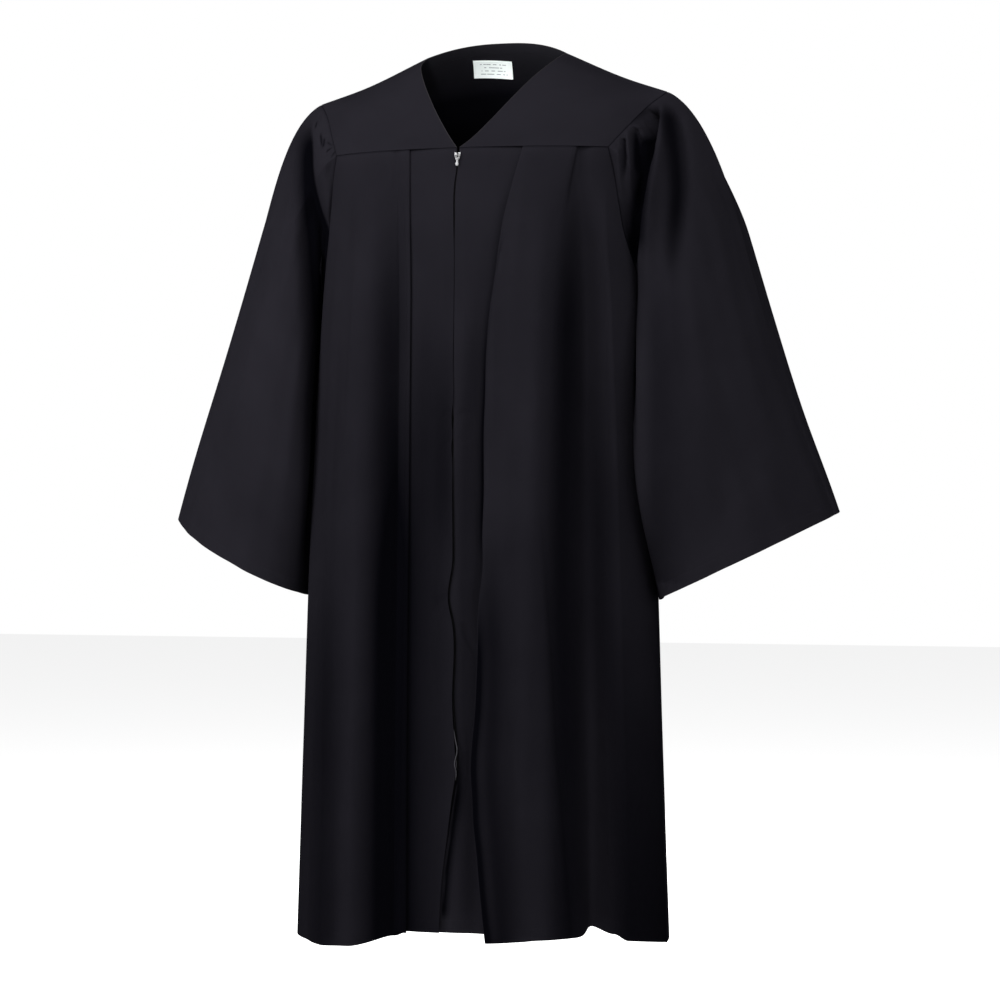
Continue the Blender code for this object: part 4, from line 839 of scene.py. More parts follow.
def armhole(side, place):
    """Point on the armhole seam."""
    place = place % ARMHOLE_STEPS
    if YOKE_CORNER <= place <= BACK_CORNER:
        return skin(side, *armhole_on_form(place))
    rows, corner = (OVER_FRONT, YOKE_CORNER) if place < YOKE_CORNER else (OVER_BACK, BACK_CORNER)
    rows = sorted((*rows, Over(corner, *skin(1, *armhole_on_form(corner)))))
    return follow(column(rows, "place"), [row[1:] for row in rows], place) * (side, 1, 1)


def armhole_normal(side, place):
    """Direction straight out of the body pieces at a place on the armhole."""
    place = place % ARMHOLE_STEPS
    if YOKE_CORNER <= place <= BACK_CORNER:
        return skin_normal(side, *armhole_on_form(place))
    corner = YOKE_CORNER if place < YOKE_CORNER else BACK_CORNER
    share = min(place, ARMHOLE_STEPS - place) / YOKE_CORNER
    low = skin_normal(side, *armhole_on_form(corner))
    high = np.array(SHOULDER_NORMAL) * (side, 1, 1)
    return unit(low * share + high * (1 - share))


def armhole_inward(side, place):
    """Direction along the body pieces, away from the armhole."""
    tangent = armhole(side, place + 0.25) - armhole(side, place - 0.25)
    return unit(np.cross(tangent, armhole_normal(side, place)) * side)


def armhole_edge(side, place, toward_body):
    """Edge of a piece at the armhole: of the body pieces (1) or of the sleeve (-1)."""
    return armhole(side, place) + armhole_inward(side, place) * HALF_GAP * toward_body


# ---- yokes ---------------------------------------------------------------------------------
def patch(top, bottom, first, last):
    """Grid of points between four edges that meet at their corners."""
    across = np.linspace(0.0, 1.0, len(top))[None, :, None]
    down = np.linspace(0.0, 1.0, len(first))[:, None, None]
    corners = ((1 - down) * ((1 - across) * top[0] + across * top[-1])
               + down * ((1 - across) * bottom[0] + across * bottom[-1]))
    return ((1 - down) * top[None] + down * bottom[None]
            + (1 - across) * first[:, None] + across * last[:, None] - corners)


def shoulder(share):
    """Points on the left shoulder seam, a share of the way from the neck to the armhole."""
    points = (NECK_POINT, SHOULDER_MIDDLE, OVER_FRONT[0][1:])
    return follow((0.0, SHOULDER_MIDDLE_SHARE, 1.0), points, share)


YOKE_STEPS = 66          # rows and columns of a front yoke


def front_yoke(side):
    """Grid over a front yoke: rows from the shoulder to the seam, columns from the neck out."""
    shares = np.linspace(0.0, 1.0, YOKE_STEPS + 1)
    mirror = np.array((side, 1, 1))
    top = shoulder(shares) * mirror
    tip = float(front_edge("left", YOKE_SEAM_Z))
    reach = distance_at(DOWN[0].turn, YOKE_SEAM_Z) - tip
    bottom = skin(side, turn_at(tip + reach * shares, YOKE_SEAM_Z), YOKE_SEAM_Z)
    neck = follow(column(FRONT_NECK, "along"), [row[1:] for row in FRONT_NECK], shares) * mirror
    arm = np.array([armhole_edge(side, place, 1) for place in shares * YOKE_CORNER])
    neck[0] = top[0]
    neck[-1] = bottom[0]
    grid = patch(top, bottom, neck, arm)
    swell = np.sin(np.pi * shares)[:, None] * np.sin(np.pi * shares)[None, :]
    grid += (swell * FRONT_YOKE_FULLNESS)[..., None] * unit(FRONT_YOKE_OUTWARD)
    grid[0, :, 1] -= HALF_GAP
    grid[-1, :, 2] = YOKE_SEAM_Z + HALF_GAP
    return grid


BACK_YOKE_ROWS = 60
BACK_YOKE_SHOULDER = 34      # columns over each shoulder
BACK_YOKE_NECK = 60          # columns across the neck


def back_neck(place):
    """Points on the neck edge of the back, at places across."""
    share = np.abs(place) / NECK_POINT[0]
    return np.stack((place, BACK_NECK_Y * (1 - share ** 2),
                     BACK_NECK_RISE * (1 - share ** BACK_NECK_SQUARENESS)), axis=-1)


def back_yoke():
    """Grid over the back yoke: rows down, columns from the left armhole to the right one."""
    left = shoulder(np.linspace(1.0, 0.0, BACK_YOKE_SHOULDER + 1))
    neck = back_neck(np.linspace(NECK_POINT[0], -NECK_POINT[0], BACK_YOKE_NECK + 1))
    top = np.concatenate((left[:-1], neck, left[-2::-1] * (-1, 1, 1)))
    corner = skin(1, DOWN[-1].turn, YOKE_SEAM_Z)[0] / float(body_size(YOKE_SEAM_Z, "half_width"))
    turns = 180.0 - np.degrees(np.arcsin(np.abs(top[:, 0]) / top[0, 0] * corner))
    bottom = np.where(top[:, :1] > 0, skin(1, turns, YOKE_SEAM_Z), skin(-1, turns, YOKE_SEAM_Z))
    places = ARMHOLE_STEPS - np.linspace(0.0, YOKE_CORNER, BACK_YOKE_ROWS + 1)
    first = np.array([armhole_edge(1, place, 1) for place in places])
    last = np.array([armhole_edge(-1, place, 1) for place in places])
    first[0] = top[0]
    last[0] = top[-1]
    grid = patch(top, bottom, first, last)
    down = np.linspace(0.0, 1.0, BACK_YOKE_ROWS + 1)
    across = np.sqrt(1 - np.abs(top[:, 0]) / top[0, 0])
    grid[..., 1] += BACK_YOKE_FULLNESS * np.sin(np.pi * down)[:, None] * across[None, :]
    grid[0, :BACK_YOKE_SHOULDER + 1, 1] += HALF_GAP
    grid[0, -BACK_YOKE_SHOULDER - 1:, 1] += HALF_GAP
    grid[-1, :, 2] = YOKE_SEAM_Z + HALF_GAP
    return grid


# ---- sleeves -------------------------------------------------------------------------------
# From a place round the armhole, to a place, and the columns between them.
SLEEVE_COLUMNS = ((0, 3, 28), (3, 9, 112), (9, 12, 28), (12, 21, 46), (21, 28, 54))
# From a share of the way down, to a share, and the rows between them.
SLEEVE_ROWS = ((0.0, 0.22, 68), (0.22, 1.0, 82))
# How a direction faces where an effect starts, and over how much it comes in: the folds of the
# front, those of the back, and the painted shade against the body.
FOLDED_SIDE = (-0.3, 0.45)
BACK_SIDE = (-0.05, 0.3)
BODY_SIDE = (0.65, 0.25)
BODY_SIDE_SHADE = ((0.008, 0.0), (0.02, 0.95), (0.15, 0.95), (0.35, 0.55))   # below the seam, and painted shade
LEAVE_SMOOTHING = 1.3    # places over which the way that the cloth leaves its seam is evened


def tube_points(side, along, angles):
    """Points on the sleeve's form below the armhole, at angles from its outer side."""
    size = Tube(*follow(column(SLEEVE, "along"), SLEEVE, along))
    turn = math.radians(size.turn)
    long_way = np.array((math.cos(turn), math.sin(turn)))
    short_way = np.array((math.sin(turn), -math.cos(turn)))
    way = np.stack((np.cos(angles), -np.sin(angles)), axis=-1)
    offset = (size.long * (way @ long_way)[:, None] * long_way
              + size.short * (way @ short_way)[:, None] * short_way)
    return np.stack((side * (size.x + offset[:, 0]), size.y + offset[:, 1],
                     size.z + size.slope * offset[:, 0] + size.lean * offset[:, 1]), axis=-1)


def sleeve_form(side, places, alongs):
    """Grid over a sleeve before its folds: rings from the armhole to the cuff."""
    angles = np.radians(follow(TUBE_PLACES, TUBE_ANGLES, places))
    first = SLEEVE[0].along
    start = np.array([armhole_edge(side, place, -1) for place in places])
    end = tube_points(side, first, angles)
    chord = np.linalg.norm(end - start, axis=-1, keepdims=True)
    leaving = LEAVING["left" if side > 0 else "right"]
    share = follow(column(leaving, "place"), [row[1:] for row in leaving], places)
    inward = np.array([armhole_inward(side, place) for place in places])
    outward = np.array([armhole_normal(side, place) for place in places])
    leave = (inward * -share[:, :1] + outward * share[:, 1:2]
             + np.array((0.0, 0.0, -1.0)) * share[:, 2:])
    leave = evened(leave, places) * chord
    arrive = unit(tube_points(side, first + 0.01, angles) - end) * chord * ARRIVE
    rings = []
    for along in alongs:
        t = along / first
        if t < 1:
            ring = curve(start, end, leave, arrive, t)
        else:
            ring = tube_points(side, along, angles)
        rings.append(clear_of_body(side, ring, along))
    return np.array(rings)


def evened(values, places):
    """Values round the armhole, each the mean of those at the places near it."""
    apart = np.abs(places[:, None] - places[None, :])
    apart = np.minimum(apart, ARMHOLE_STEPS - apart)
    weights = np.exp(-(apart / LEAVE_SMOOTHING) ** 2) * np.gradient(places)[None, :]
    return (weights @ values) / weights.sum(axis=1, keepdims=True)


def clear_of_body(side, points, along):
    """The points, eased outward where they would touch the body."""
    height = np.maximum(points[:, 2], BODY[-1].height)
    away = points[:, 1] - body_size(height, "centre_y")
    depth = body_depth(height, away <= 0)
    beside = (points[:, 2] <= YOKE_SEAM_Z) & (np.abs(away) < depth)
    wall = body_size(height, "half_width") * np.sqrt(np.clip(1 - (away / depth) ** 2, 0, 1))
    excess = side * points[:, 0] - (wall + SLEEVE_CLEAR)
    pushed = 0.5 * (excess + np.hypot(excess, CLEAR_SOFTNESS))
    share = eased(min(1.0, along / CLEAR_BY))
    moved = points.copy()
    moved[:, 0] += np.where(beside, side * (pushed - excess) * share, 0.0)
    return moved


def facing(normals, way, start, over):
    """How far each direction faces a way, from nought at a start to one."""
    return eased(np.clip((normals @ np.array(way) - start) / over, 0.0, 1.0))


def stretched(stretches):
    """Places in stretches, each from a place to a place with a count."""
    return np.concatenate([np.linspace(*stretch, endpoint=False) for stretch in stretches])


def sleeve(name, side):
    """Grid over a sleeve with its folds, rings from the armhole to the cuff, and its painted shade.
    """
    places = stretched(SLEEVE_COLUMNS)
    alongs = np.append(stretched(SLEEVE_ROWS), 1.0)
    grid = sleeve_form(side, places, alongs)
    normals = grid_normals(grid, True, -side)
    down = lengths_along(grid)
    held = 1.0 - np.exp(-(down / SEAM_HOLDS) ** 2)
    across = grid[..., 0] * math.cos(SLEEVE_VIEW) + grid[..., 1] * math.sin(SLEEVE_VIEW)
    toward = facing(normals, (math.sin(SLEEVE_VIEW), -math.cos(SLEEVE_VIEW), 0.0), *FOLDED_SIDE)
    behind = facing(normals, (0.0, 1.0, 0.0), *BACK_SIDE)
    against_body = facing(normals, (-side, 0.0, 0.0), *BODY_SIDE)
    front = fold_in(across, -grid[..., 2], SLEEVE_FRONT[name]) * toward * held
    back = fold_in(side * grid[..., 0], -grid[..., 2], SLEEVE_BACK[name]) * behind * held
    # Painted shade: darker colour in the sleeve's hollows, in the groove of its seam, and on its
    # side against the body.
    shade = np.maximum.reduce((fold_in(across, -grid[..., 2], SLEEVE_PAINTED_SHADES[name]) * toward,
                               SEAM_SHADE * np.exp(-(down / SEAM_SHADE_REACH) ** 2),
                               against_body * np.interp(down, *zip(*BODY_SIDE_SHADE))))
    hollow = np.clip(shade - back / PAINTED_SHADE_DEPTH, 0.0, 1.0)
    out = SLEEVE_RIPPLES * rippled(places * PLACE, down) * held + seam_dip(down)
    grid = grid + normals * out[..., None]
    push = front[..., None] * np.array(SLEEVE_PUSH[name])
    push[..., 1] += back
    grid += push
    centre = np.mean(grid[..., 1], axis=1, keepdims=True)
    grid[..., 2] += CUFF_TILT[name] * (grid[..., 1] - centre) * alongs[:, None] ** 3
    return grid, hollow


# ---- sheets --------------------------------------------------------------------------------
CUT_ROW = 0.6            # share of the way down at which the width of a cut is measured


def grid_normals(grid, ring, sign):
    """Unit directions straight out of a grid of points."""
    if ring:
        across = np.roll(grid, -1, axis=1) - np.roll(grid, 1, axis=1)
    else:
        across = np.gradient(grid, axis=1)
    down = np.gradient(grid, axis=0)
    return unit(np.cross(down, across) * sign)


def new_object(name, points, faces, *finishes):
    """A mesh in the scene with its finishes and an empty map of its cut."""
    mesh = bpy.data.meshes.new(name)
    mesh.from_pydata(points, [], faces)
    mesh.uv_layers.new(name="cut")
    for finish in finishes:
        mesh.materials.append(finish)
    made = bpy.data.objects.new(name, mesh)
    bpy.context.scene.collection.objects.link(made)
    return made


def set_cut(made, spots):
    """Sets the place of each face corner on the cut map."""
    made.data.uv_layers["cut"].data.foreach_set("uv", spots.reshape(-1).astype(np.float32))


def cloth_sheet(name, grid, finish, wall=WALL, ring=False, flip=False, hollow=None, inside=None):
    """A sheet of cloth through a grid of points, with its own wall, and a map of its cut."""
    rows, columns = grid.shape[:2]
    down = lengths_along(grid[::-1])[::-1]
    closed = grid
    index = np.arange(rows * columns).reshape(rows, columns)
    if ring:
        closed, index, down = (np.concatenate((table, table[:, :1]), axis=1)
                               for table in (grid, index, down))
    across = lengths_along(closed[int(rows * CUT_ROW)])
    spots = np.stack((np.broadcast_to(across, down.shape), down), axis=-1)
    quads, corners = (
        np.stack((table[:-1, :-1], table[1:, :-1], table[1:, 1:], table[:-1, 1:]), axis=2)
        for table in (index, spots))
    if flip:
        quads, corners = quads[:, :, ::-1], corners[:, :, ::-1]
    finishes = (finish, inside) if inside else (finish,)
    made = new_object(name, grid.reshape(-1, 3).tolist(), quads.reshape(-1, 4).tolist(), *finishes)
    set_cut(made, corners)
    # The painted shade of each point is kept as an attribute of the sheet.
    if hollow is not None:
        deep = made.data.attributes.new("hollow", "FLOAT", "POINT")
        deep.data.foreach_set("value", np.clip(hollow, 0.0, 1.0).reshape(-1).astype(np.float32))
    thicken = made.modifiers.new("wall", "SOLIDIFY")
    thicken.material_offset = 1 if inside else 0
    thicken.thickness = wall
    thicken.offset = 0.0
    apply_modifiers(made)
    made.data.shade_smooth()
    made.data.set_sharp_from_angle(angle=CRISP)
    return made


def only(made):
    """Makes one object the only selected and active one."""
    for item in bpy.context.view_layer.objects:
        item.select_set(False)
    bpy.context.view_layer.objects.active = made
    made.select_set(True)


def apply_modifiers(made):
    """Applies every modifier of an object, in order."""
    only(made)
    for modifier in list(made.modifiers):
        bpy.ops.object.modifier_apply(modifier=modifier.name)


# ---- materials -----------------------------------------------------------------------------
class Nodes:
    """Adds and joins nodes in one tree."""

    def __init__(self, tree):
        self.tree = tree

    def add(self, kind, inputs=(), **settings):
        """A node with its settings, each input a number, a colour or another node's output."""
        node = self.tree.nodes.new("ShaderNode" + kind)
        for key, value in settings.items():
            setattr(node, key, value)
        for key, value in dict(inputs).items():
            self.put(value, node.inputs[key])
        return node.outputs

    def put(self, value, socket):
        """Sets a socket, or joins an output to it."""
        if isinstance(value, bpy.types.NodeSocket):
            self.tree.links.new(value, socket)
        else:
            socket.default_value = value

    def math(self, operation, *values):
        """Result of one sum."""
        return self.add("Math", enumerate(values), operation=operation)[0]

    def mix(self, share, first, second):
        """A colour between two colours."""
        return self.add("Mix", {0: share, 6: first, 7: second}, data_type="RGBA")[2]

    def between(self, value, low, high, to_low=0.0, to_high=1.0):
        """A value moved from one range to another, kept inside it."""
        return self.add("MapRange", {0: value, 1: low, 2: high, 3: to_low, 4: to_high})[0]

    def noise(self, place, scale, detail, **settings):
        """Soft noise, at a place in space or along a line."""
        inputs = {"W" if settings else "Vector": place, "Scale": scale, "Detail": detail}
        return self.add("TexNoise", inputs, **settings)[0]

    def streaks(self, place, stretch, detail):
        """Noise drawn out along the axes with the smaller stretch."""
        return self.noise(self.add("Mapping", {0: place, 3: stretch})[0], 1.0, detail)

    def relief(self, height, distance, strength, under=None):
        """A bumped normal, over another one if there is one."""
        inputs = {"Height": height, "Distance": distance, "Strength": strength}
        if under:
            inputs["Normal"] = under
        return self.add("Bump", inputs)[0]


def new_group(name, inputs, outputs):
    """A node group with named number, colour or vector sockets."""
    group = bpy.data.node_groups.new(name, "ShaderNodeTree")
    for label, kind, value in inputs:
        socket = group.interface.new_socket(label, in_out="INPUT", socket_type="NodeSocket" + kind)
        if value is not None:
            socket.default_value = value
    for label in outputs:
        group.interface.new_socket(label, in_out="OUTPUT", socket_type="NodeSocketFloat")
    given = group.nodes.new("NodeGroupInput").outputs
    return group, Nodes(group), given, group.nodes.new("NodeGroupOutput").inputs


def weave_group():
    """Plain weave: warp and weft threads that pass over and under, with uneven yarn."""
    group, nodes, given, out = new_group(
        "woven cloth", [("Place", "Vector", None), ("Pitch", "Float", 0.0005),
                        ("Slub", "Float", 0.3)], ["Height", "Yarn"])
    place = nodes.add("SeparateXYZ", {0: given["Place"]})
    threads = [nodes.math("DIVIDE", place[axis], given["Pitch"]) for axis in (0, 1)]
    warp, weft = (nodes.math("SINE", nodes.math("MULTIPLY", nodes.math("FRACT", thread), math.pi))
                  for thread in threads)
    whole = [nodes.math("FLOOR", thread) for thread in threads]
    over = nodes.math("PINGPONG", nodes.math("ADD", *whole), 1.0)
    up = nodes.math("MULTIPLY", warp, over)
    side = nodes.math("MULTIPLY", weft, nodes.math("SUBTRACT", 1.0, over))
    slubs = [nodes.streaks(given["Place"], stretch, 1.0)
             for stretch in (WARP_STRETCH, WEFT_STRETCH)]
    yarn = nodes.math("MULTIPLY", nodes.math("ADD", *slubs), 0.5)
    uneven = nodes.math("MULTIPLY", yarn, given["Slub"])
    nodes.put(nodes.math("ADD", nodes.math("ADD", up, side), uneven), out["Height"])
    nodes.put(yarn, out["Yarn"])
    return group


def stitch_group():
    """A row of stitches at a set distance from an edge."""
    group, nodes, given, out = new_group(
        "stitch row", [("Place", "Vector", None), ("Line", "Float", 0.01),
                       ("Pitch", "Float", 0.003), ("Width", "Float", 0.0006)],
        ["Thread", "Groove"])
    place = nodes.add("SeparateXYZ", {0: given["Place"]})
    away = nodes.math("ABSOLUTE", nodes.math("SUBTRACT", place[1], given["Line"]))
    groove = nodes.between(away, 0.0, nodes.math("MULTIPLY", given["Width"], 3.0), 1.0, 0.0)
    on_line = nodes.math("LESS_THAN", away, given["Width"])
    beat = nodes.math("FRACT", nodes.math("DIVIDE", place[0], given["Pitch"]))
    from_middle = nodes.math("ABSOLUTE", nodes.math("SUBTRACT", beat, 0.5))
    stitch = nodes.math("LESS_THAN", from_middle, STITCH_HALF_SHARE)
    nodes.put(nodes.math("MULTIPLY", on_line, stitch), out["Thread"])
    nodes.put(groove, out["Groove"])
    return group


def new_material(name):
    """A material with its nodes and its surface shader's sockets."""
    made = bpy.data.materials.new(name)
    made.use_nodes = True
    return made, Nodes(made.node_tree), made.node_tree.nodes["Principled BSDF"].inputs


def woven(nodes, pitch, slub=0.3):
    """The place on a piece's cut map, and the height and yarn of a weave over it."""
    cut = nodes.add("UVMap", uv_map="cut")[0]
    weave = nodes.add("Group", node_tree=WEAVE, inputs={"Place": cut, "Pitch": pitch, "Slub": slub})
    return cut, weave["Height"], weave["Yarn"]


def dress(nodes, surface, colour, varied, rough, normal):
    """Joins a colour, a roughness that varies between two and a normal to a surface."""
    nodes.put(colour, surface["Base Color"])
    nodes.put(nodes.between(varied, 0.3, 0.7, *rough), surface["Roughness"])
    nodes.put(normal, surface["Normal"])


STITCH_HALF_SHARE = 0.36     # half of a stitch, as a share of the pitch
WARP_STRETCH = (900.0, 25.0, 1.0)
WEFT_STRETCH = (25.0, 900.0, 1.0)
WEAVE = weave_group()
STITCHES = stitch_group()
HEM_STITCH_LINE = 0.018
CLOTH_PITCH = 0.00045
CLOTH_COLOURS = ((0.0068, 0.0064, 0.0083, 1.0), (0.0094, 0.0088, 0.0114, 1.0))
# Colour of the painted shade in the folds of the gown cloth.
PAINTED_SHADE_COLOUR = (0.0007, 0.0007, 0.0012, 1.0)
PAINTED_SHADE_STRENGTH = 0.96      # how much of the painted shade colour a hollow takes
THREAD_COLOUR = (0.009, 0.0085, 0.011, 1.0)


def gown_cloth(name, hem=False, with_painted_shade=True, colours=CLOTH_COLOURS):
    """Matt dark polyester, plainly woven, with a row of stitches along its hem if it has one."""
    made, nodes, surface = new_material(name)
    cut, height, yarn = woven(nodes, CLOTH_PITCH)
    patches = nodes.between(nodes.noise(cut, 9.0, 3.0), 0.35, 0.65)
    varied = nodes.math("MULTIPLY_ADD", yarn, 0.6, nodes.math("MULTIPLY", patches, 0.4))
    colour = nodes.mix(varied, *colours)
    normal = nodes.relief(nodes.noise(cut, 38.0, 2.0), 0.0016, 0.35)
    normal = nodes.relief(height, 0.00012, 0.5, normal)
    if hem:
        row = nodes.add("Group", node_tree=STITCHES, inputs={"Place": cut, "Line": HEM_STITCH_LINE})
        colour = nodes.mix(row["Thread"], colour, THREAD_COLOUR)
        normal = nodes.relief(row["Groove"], -0.0004, 0.25, normal)
    # Painted shade: unless turned off, the colour darkens where the sheet's hollow attribute marks
    # a fold.
    if with_painted_shade:
        hollow = nodes.add("Attribute", attribute_name="hollow")["Fac"]
        colour = nodes.mix(nodes.math("MULTIPLY", hollow, PAINTED_SHADE_STRENGTH), colour, PAINTED_SHADE_COLOUR)
    dress(nodes, surface, colour, yarn, (0.6, 0.74), normal)
    surface["Specular IOR Level"].default_value = 0.0
    return made


def plain_cloth(name, colour, light, roughness, pitch):
    """A finely woven cloth of one colour, such as a zip tape or a turned edge."""
    made, nodes, surface = new_material(name)
    _, height, yarn = woven(nodes, pitch, 0.5)
    dress(nodes, surface, nodes.mix(yarn, colour, light), yarn, (roughness, roughness + 0.12),
          nodes.relief(height, 0.0002, 0.5))
    surface["Specular IOR Level"].default_value = 0.03
    return made


LABEL_LINES = 4
LABEL_LINE_FIRST = 0.0062        # height of the lowest line of bars above the label's foot
LABEL_LINE_STEP = 0.005
LABEL_BAR_HALF = 0.0006
LABEL_MARGIN = 0.008             # least bare cloth at the ends of a line
LABEL_MARGIN_MORE = 0.008        # the most by which a line's margin is wider
LABEL_BAR_RATE = 210.0           # how quickly bars and gaps follow each other
LABEL_BAR_START = 0.44           # noise above this is a bar
LABEL_SIZE = (0.058, 0.0275)


def label_finish():
    """White woven label with four lines of plain short bars."""
    made, nodes, surface = new_material("label cloth")
    sum_of = nodes.math
    cut, height, yarn = woven(nodes, 0.0004)
    place = nodes.add("SeparateXYZ", {0: cut})
    line = sum_of("DIVIDE", sum_of("SUBTRACT", place[1], LABEL_LINE_FIRST), LABEL_LINE_STEP)
    number = sum_of("ROUND", line)
    off = sum_of("MULTIPLY", sum_of("ABSOLUTE", sum_of("SUBTRACT", line, number)), LABEL_LINE_STEP)
    along = sum_of("MULTIPLY_ADD", number, 7.3, sum_of("MULTIPLY", place[0], LABEL_BAR_RATE))
    word = nodes.noise(along, 1.0, 0.0, noise_dimensions="1D")
    margin = sum_of("MULTIPLY_ADD", sum_of("FRACT", sum_of("MULTIPLY", number, 0.37)),
                    LABEL_MARGIN_MORE, LABEL_MARGIN)
    bar = sum_of("LESS_THAN", off, LABEL_BAR_HALF)
    for test in (("GREATER_THAN", number, -0.5), ("LESS_THAN", number, LABEL_LINES - 0.5),
                 ("GREATER_THAN", place[0], margin),
                 ("LESS_THAN", place[0], sum_of("SUBTRACT", LABEL_SIZE[0], margin)),
                 ("GREATER_THAN", word, LABEL_BAR_START)):
        bar = sum_of("MULTIPLY", bar, sum_of(*test))
    cloth = nodes.mix(yarn, (0.74, 0.8, 0.78, 1.0), (0.86, 0.92, 0.9, 1.0))
    colour = nodes.mix(sum_of("MULTIPLY", bar, 0.85), cloth, (0.16, 0.19, 0.22, 1.0))
    dress(nodes, surface, colour, yarn, (0.5, 0.65), nodes.relief(height, 0.0001, 0.3))
    return made


def metal_finish(name, colour, light, roughness):
    """Plated zinc with faint rubbing marks."""
    made, nodes, surface = new_material(name)
    place = nodes.add("TexCoord")["Object"]
    rubbed = nodes.noise(place, 900.0, 3.0)
    marks = nodes.streaks(place, (2500.0, 300.0, 300.0), 2.0)
    dress(nodes, surface, nodes.mix(rubbed, colour, light), rubbed, (roughness, roughness + 0.16),
          nodes.relief(marks, 0.00003, 0.5))
    surface["Metallic"].default_value = 1.0
    return made


def nylon_finish(name, colour, light):
    """Smooth nylon of a zip's coil or of a cord."""
    made, nodes, surface = new_material(name)
    varied = nodes.noise(nodes.add("TexCoord")["Object"], 400.0, 2.0)
    dress(nodes, surface, nodes.mix(varied, colour, light), varied, (0.45, 0.6),
          nodes.relief(varied, 0.00005, 0.4))
    surface["Specular IOR Level"].default_value = 0.05
    return made


# ---- edges, stitches and zip ---------------------------------------------------------------
def tube_mesh(name, path, radii, finish, around=8):
    """A closed tube along a path of points."""
    path = np.asarray(path, float)
    radii = np.broadcast_to(radii, len(path))
    way = unit(np.gradient(path, axis=0))
    aside = unit(np.cross(way, (0.0, 1.0, 0.02)))
    outward = np.cross(way, aside)
    angle = np.arange(around) * 2 * math.pi / around
    spokes = (np.cos(angle)[None, :, None] * aside[:, None]
              + np.sin(angle)[None, :, None] * outward[:, None])
    rings = path[:, None] + radii[:, None, None] * spokes
    points = np.concatenate((rings.reshape(-1, 3), path[:1], path[-1:]))
    index = np.arange(len(path) * around).reshape(-1, around)
    nearby = np.roll(index, -1, axis=1)
    quads = np.stack((index[:-1], nearby[:-1], nearby[1:], index[1:]), axis=-1)
    quads = quads.reshape(-1, 4).tolist()
    first, last = len(points) - 2, len(points) - 1
    caps = [(first, int(b), int(a)) for a, b in zip(index[0], nearby[0])]
    caps += [(last, int(a), int(b)) for a, b in zip(index[-1], nearby[-1])]
    made = new_object(name, points.tolist(), quads + caps, finish)
    corners = np.empty(len(made.data.loops), np.int32)
    made.data.loops.foreach_get("vertex_index", corners)
    ring = np.minimum(corners // around, len(path) - 1)
    set_cut(made, np.stack((lengths_along(path)[ring], (corners % around) * radii.mean()), axis=-1))
    outward_faces(made)
    made.data.shade_smooth()
    return made


def outward_faces(made):
    """Turns every face of a closed mesh outward."""
    work = bmesh.new()
    work.from_mesh(made.data)
    bmesh.ops.recalc_face_normals(work, faces=work.faces)
    work.to_mesh(made.data)
    work.free()


NECK_ROLL = 0.0007       # radius of the turned edge of the neck
ROLL_POINTS = 90


def roll(name, edge):
    """The turned edge of a yoke: a thin roll along a line of points."""
    path = on_line(np.linspace(0, len(edge) - 1, ROLL_POINTS), np.arange(len(edge)), edge)
    return tube_mesh(name, path, NECK_ROLL, lint_and_highlight_edge_cloth)


def many(name, shape, faces, frames, finish):
    """One mesh of a small shape repeated in many places, each an origin and three axes."""
    points = np.concatenate([origin + np.array(shape) @ np.array(axes) for origin, axes in frames])
    every = [tuple(corner + len(shape) * copy for corner in face)
             for copy in range(len(frames)) for face in faces]
    made = new_object(name, points.tolist(), every, finish)
    outward_faces(made)
    made.data.shade_smooth()
    return made


BEAD_RINGS = ((-0.36, 0.75), (0.0, 1.0), (0.36, 0.75))      # place along the bead, and size


def bead_shape(length, width, depth):
    """A rounded bead, long in x: rings of six points with a point at each end."""
    points = [(-length / 2, 0.0, 0.0)]
    for place, size in BEAD_RINGS:
        for step in range(6):
            angle = step * math.pi / 3
            points.append((place * length, size * width / 2 * math.cos(angle),
                           size * depth / 2 * math.sin(angle)))
    points.append((length / 2, 0.0, 0.0))
    last = len(points) - 1
    faces = [(0, 1 + (step + 1) % 6, 1 + step) for step in range(6)]
    for low in range(1, last - 6, 6):
        faces += [(low + step, low + (step + 1) % 6, low + 6 + (step + 1) % 6, low + 6 + step)
                  for step in range(6)]
    faces += [(last, last - 6 + step, last - 6 + (step + 1) % 6) for step in range(6)]
    return points, faces


def along_path(path, normals, pitch):
    """Places and axes for stitches along a path that lies on cloth."""
    lengths = lengths_along(path)
    half = pitch * STITCH_SHARE / 2
    frames = []
    for distance in np.arange(pitch, lengths[-1] - pitch / 2, pitch):
        start, end = (on_line(distance + step, lengths, path) for step in (-half, half))
        normal = unit(on_line(distance, lengths, normals))
        way = unit(end - start)
        frames.append(((start + end) / 2, (way, np.cross(normal, way), normal)))
    return frames


def stitches(name, paths, pitch, thread, finish):
    """One mesh of the stitches along paths, each a line of points and the directions out."""
    shape, faces = bead_shape(pitch * STITCH_SHARE, thread, thread)
    frames = [place for path, normals in paths for place in along_path(path, normals, pitch)]
    return many(name, shape, faces, frames, finish)


STITCH_PITCH = 0.003
STITCH_SHARE = 0.8           # length of a stitch as a share of its pitch
STITCH_THREAD = 0.00045
NECK_STITCH_DROP = 0.015    # from the back neck edge down to its row of stitches
NECK_STITCH_REACH = 0.93     # share of the neck's half width that the row goes out to
# Corners of the label: place across, and drop from the neck edge.
LABEL_TOP = ((0.0086, 0.0285), (-0.05, 0.0222))
LABEL_FOOT = ((0.0073, 0.056), (-0.054, 0.0497))
LABEL_COLUMNS = 48
LABEL_ROWS = 24
LABEL_STITCH_IN = 0.0022     # from the label's edge to its stitches
LABEL_STITCH_PITCH = STITCH_PITCH * 0.7
LABEL_THREAD = STITCH_THREAD * 0.8


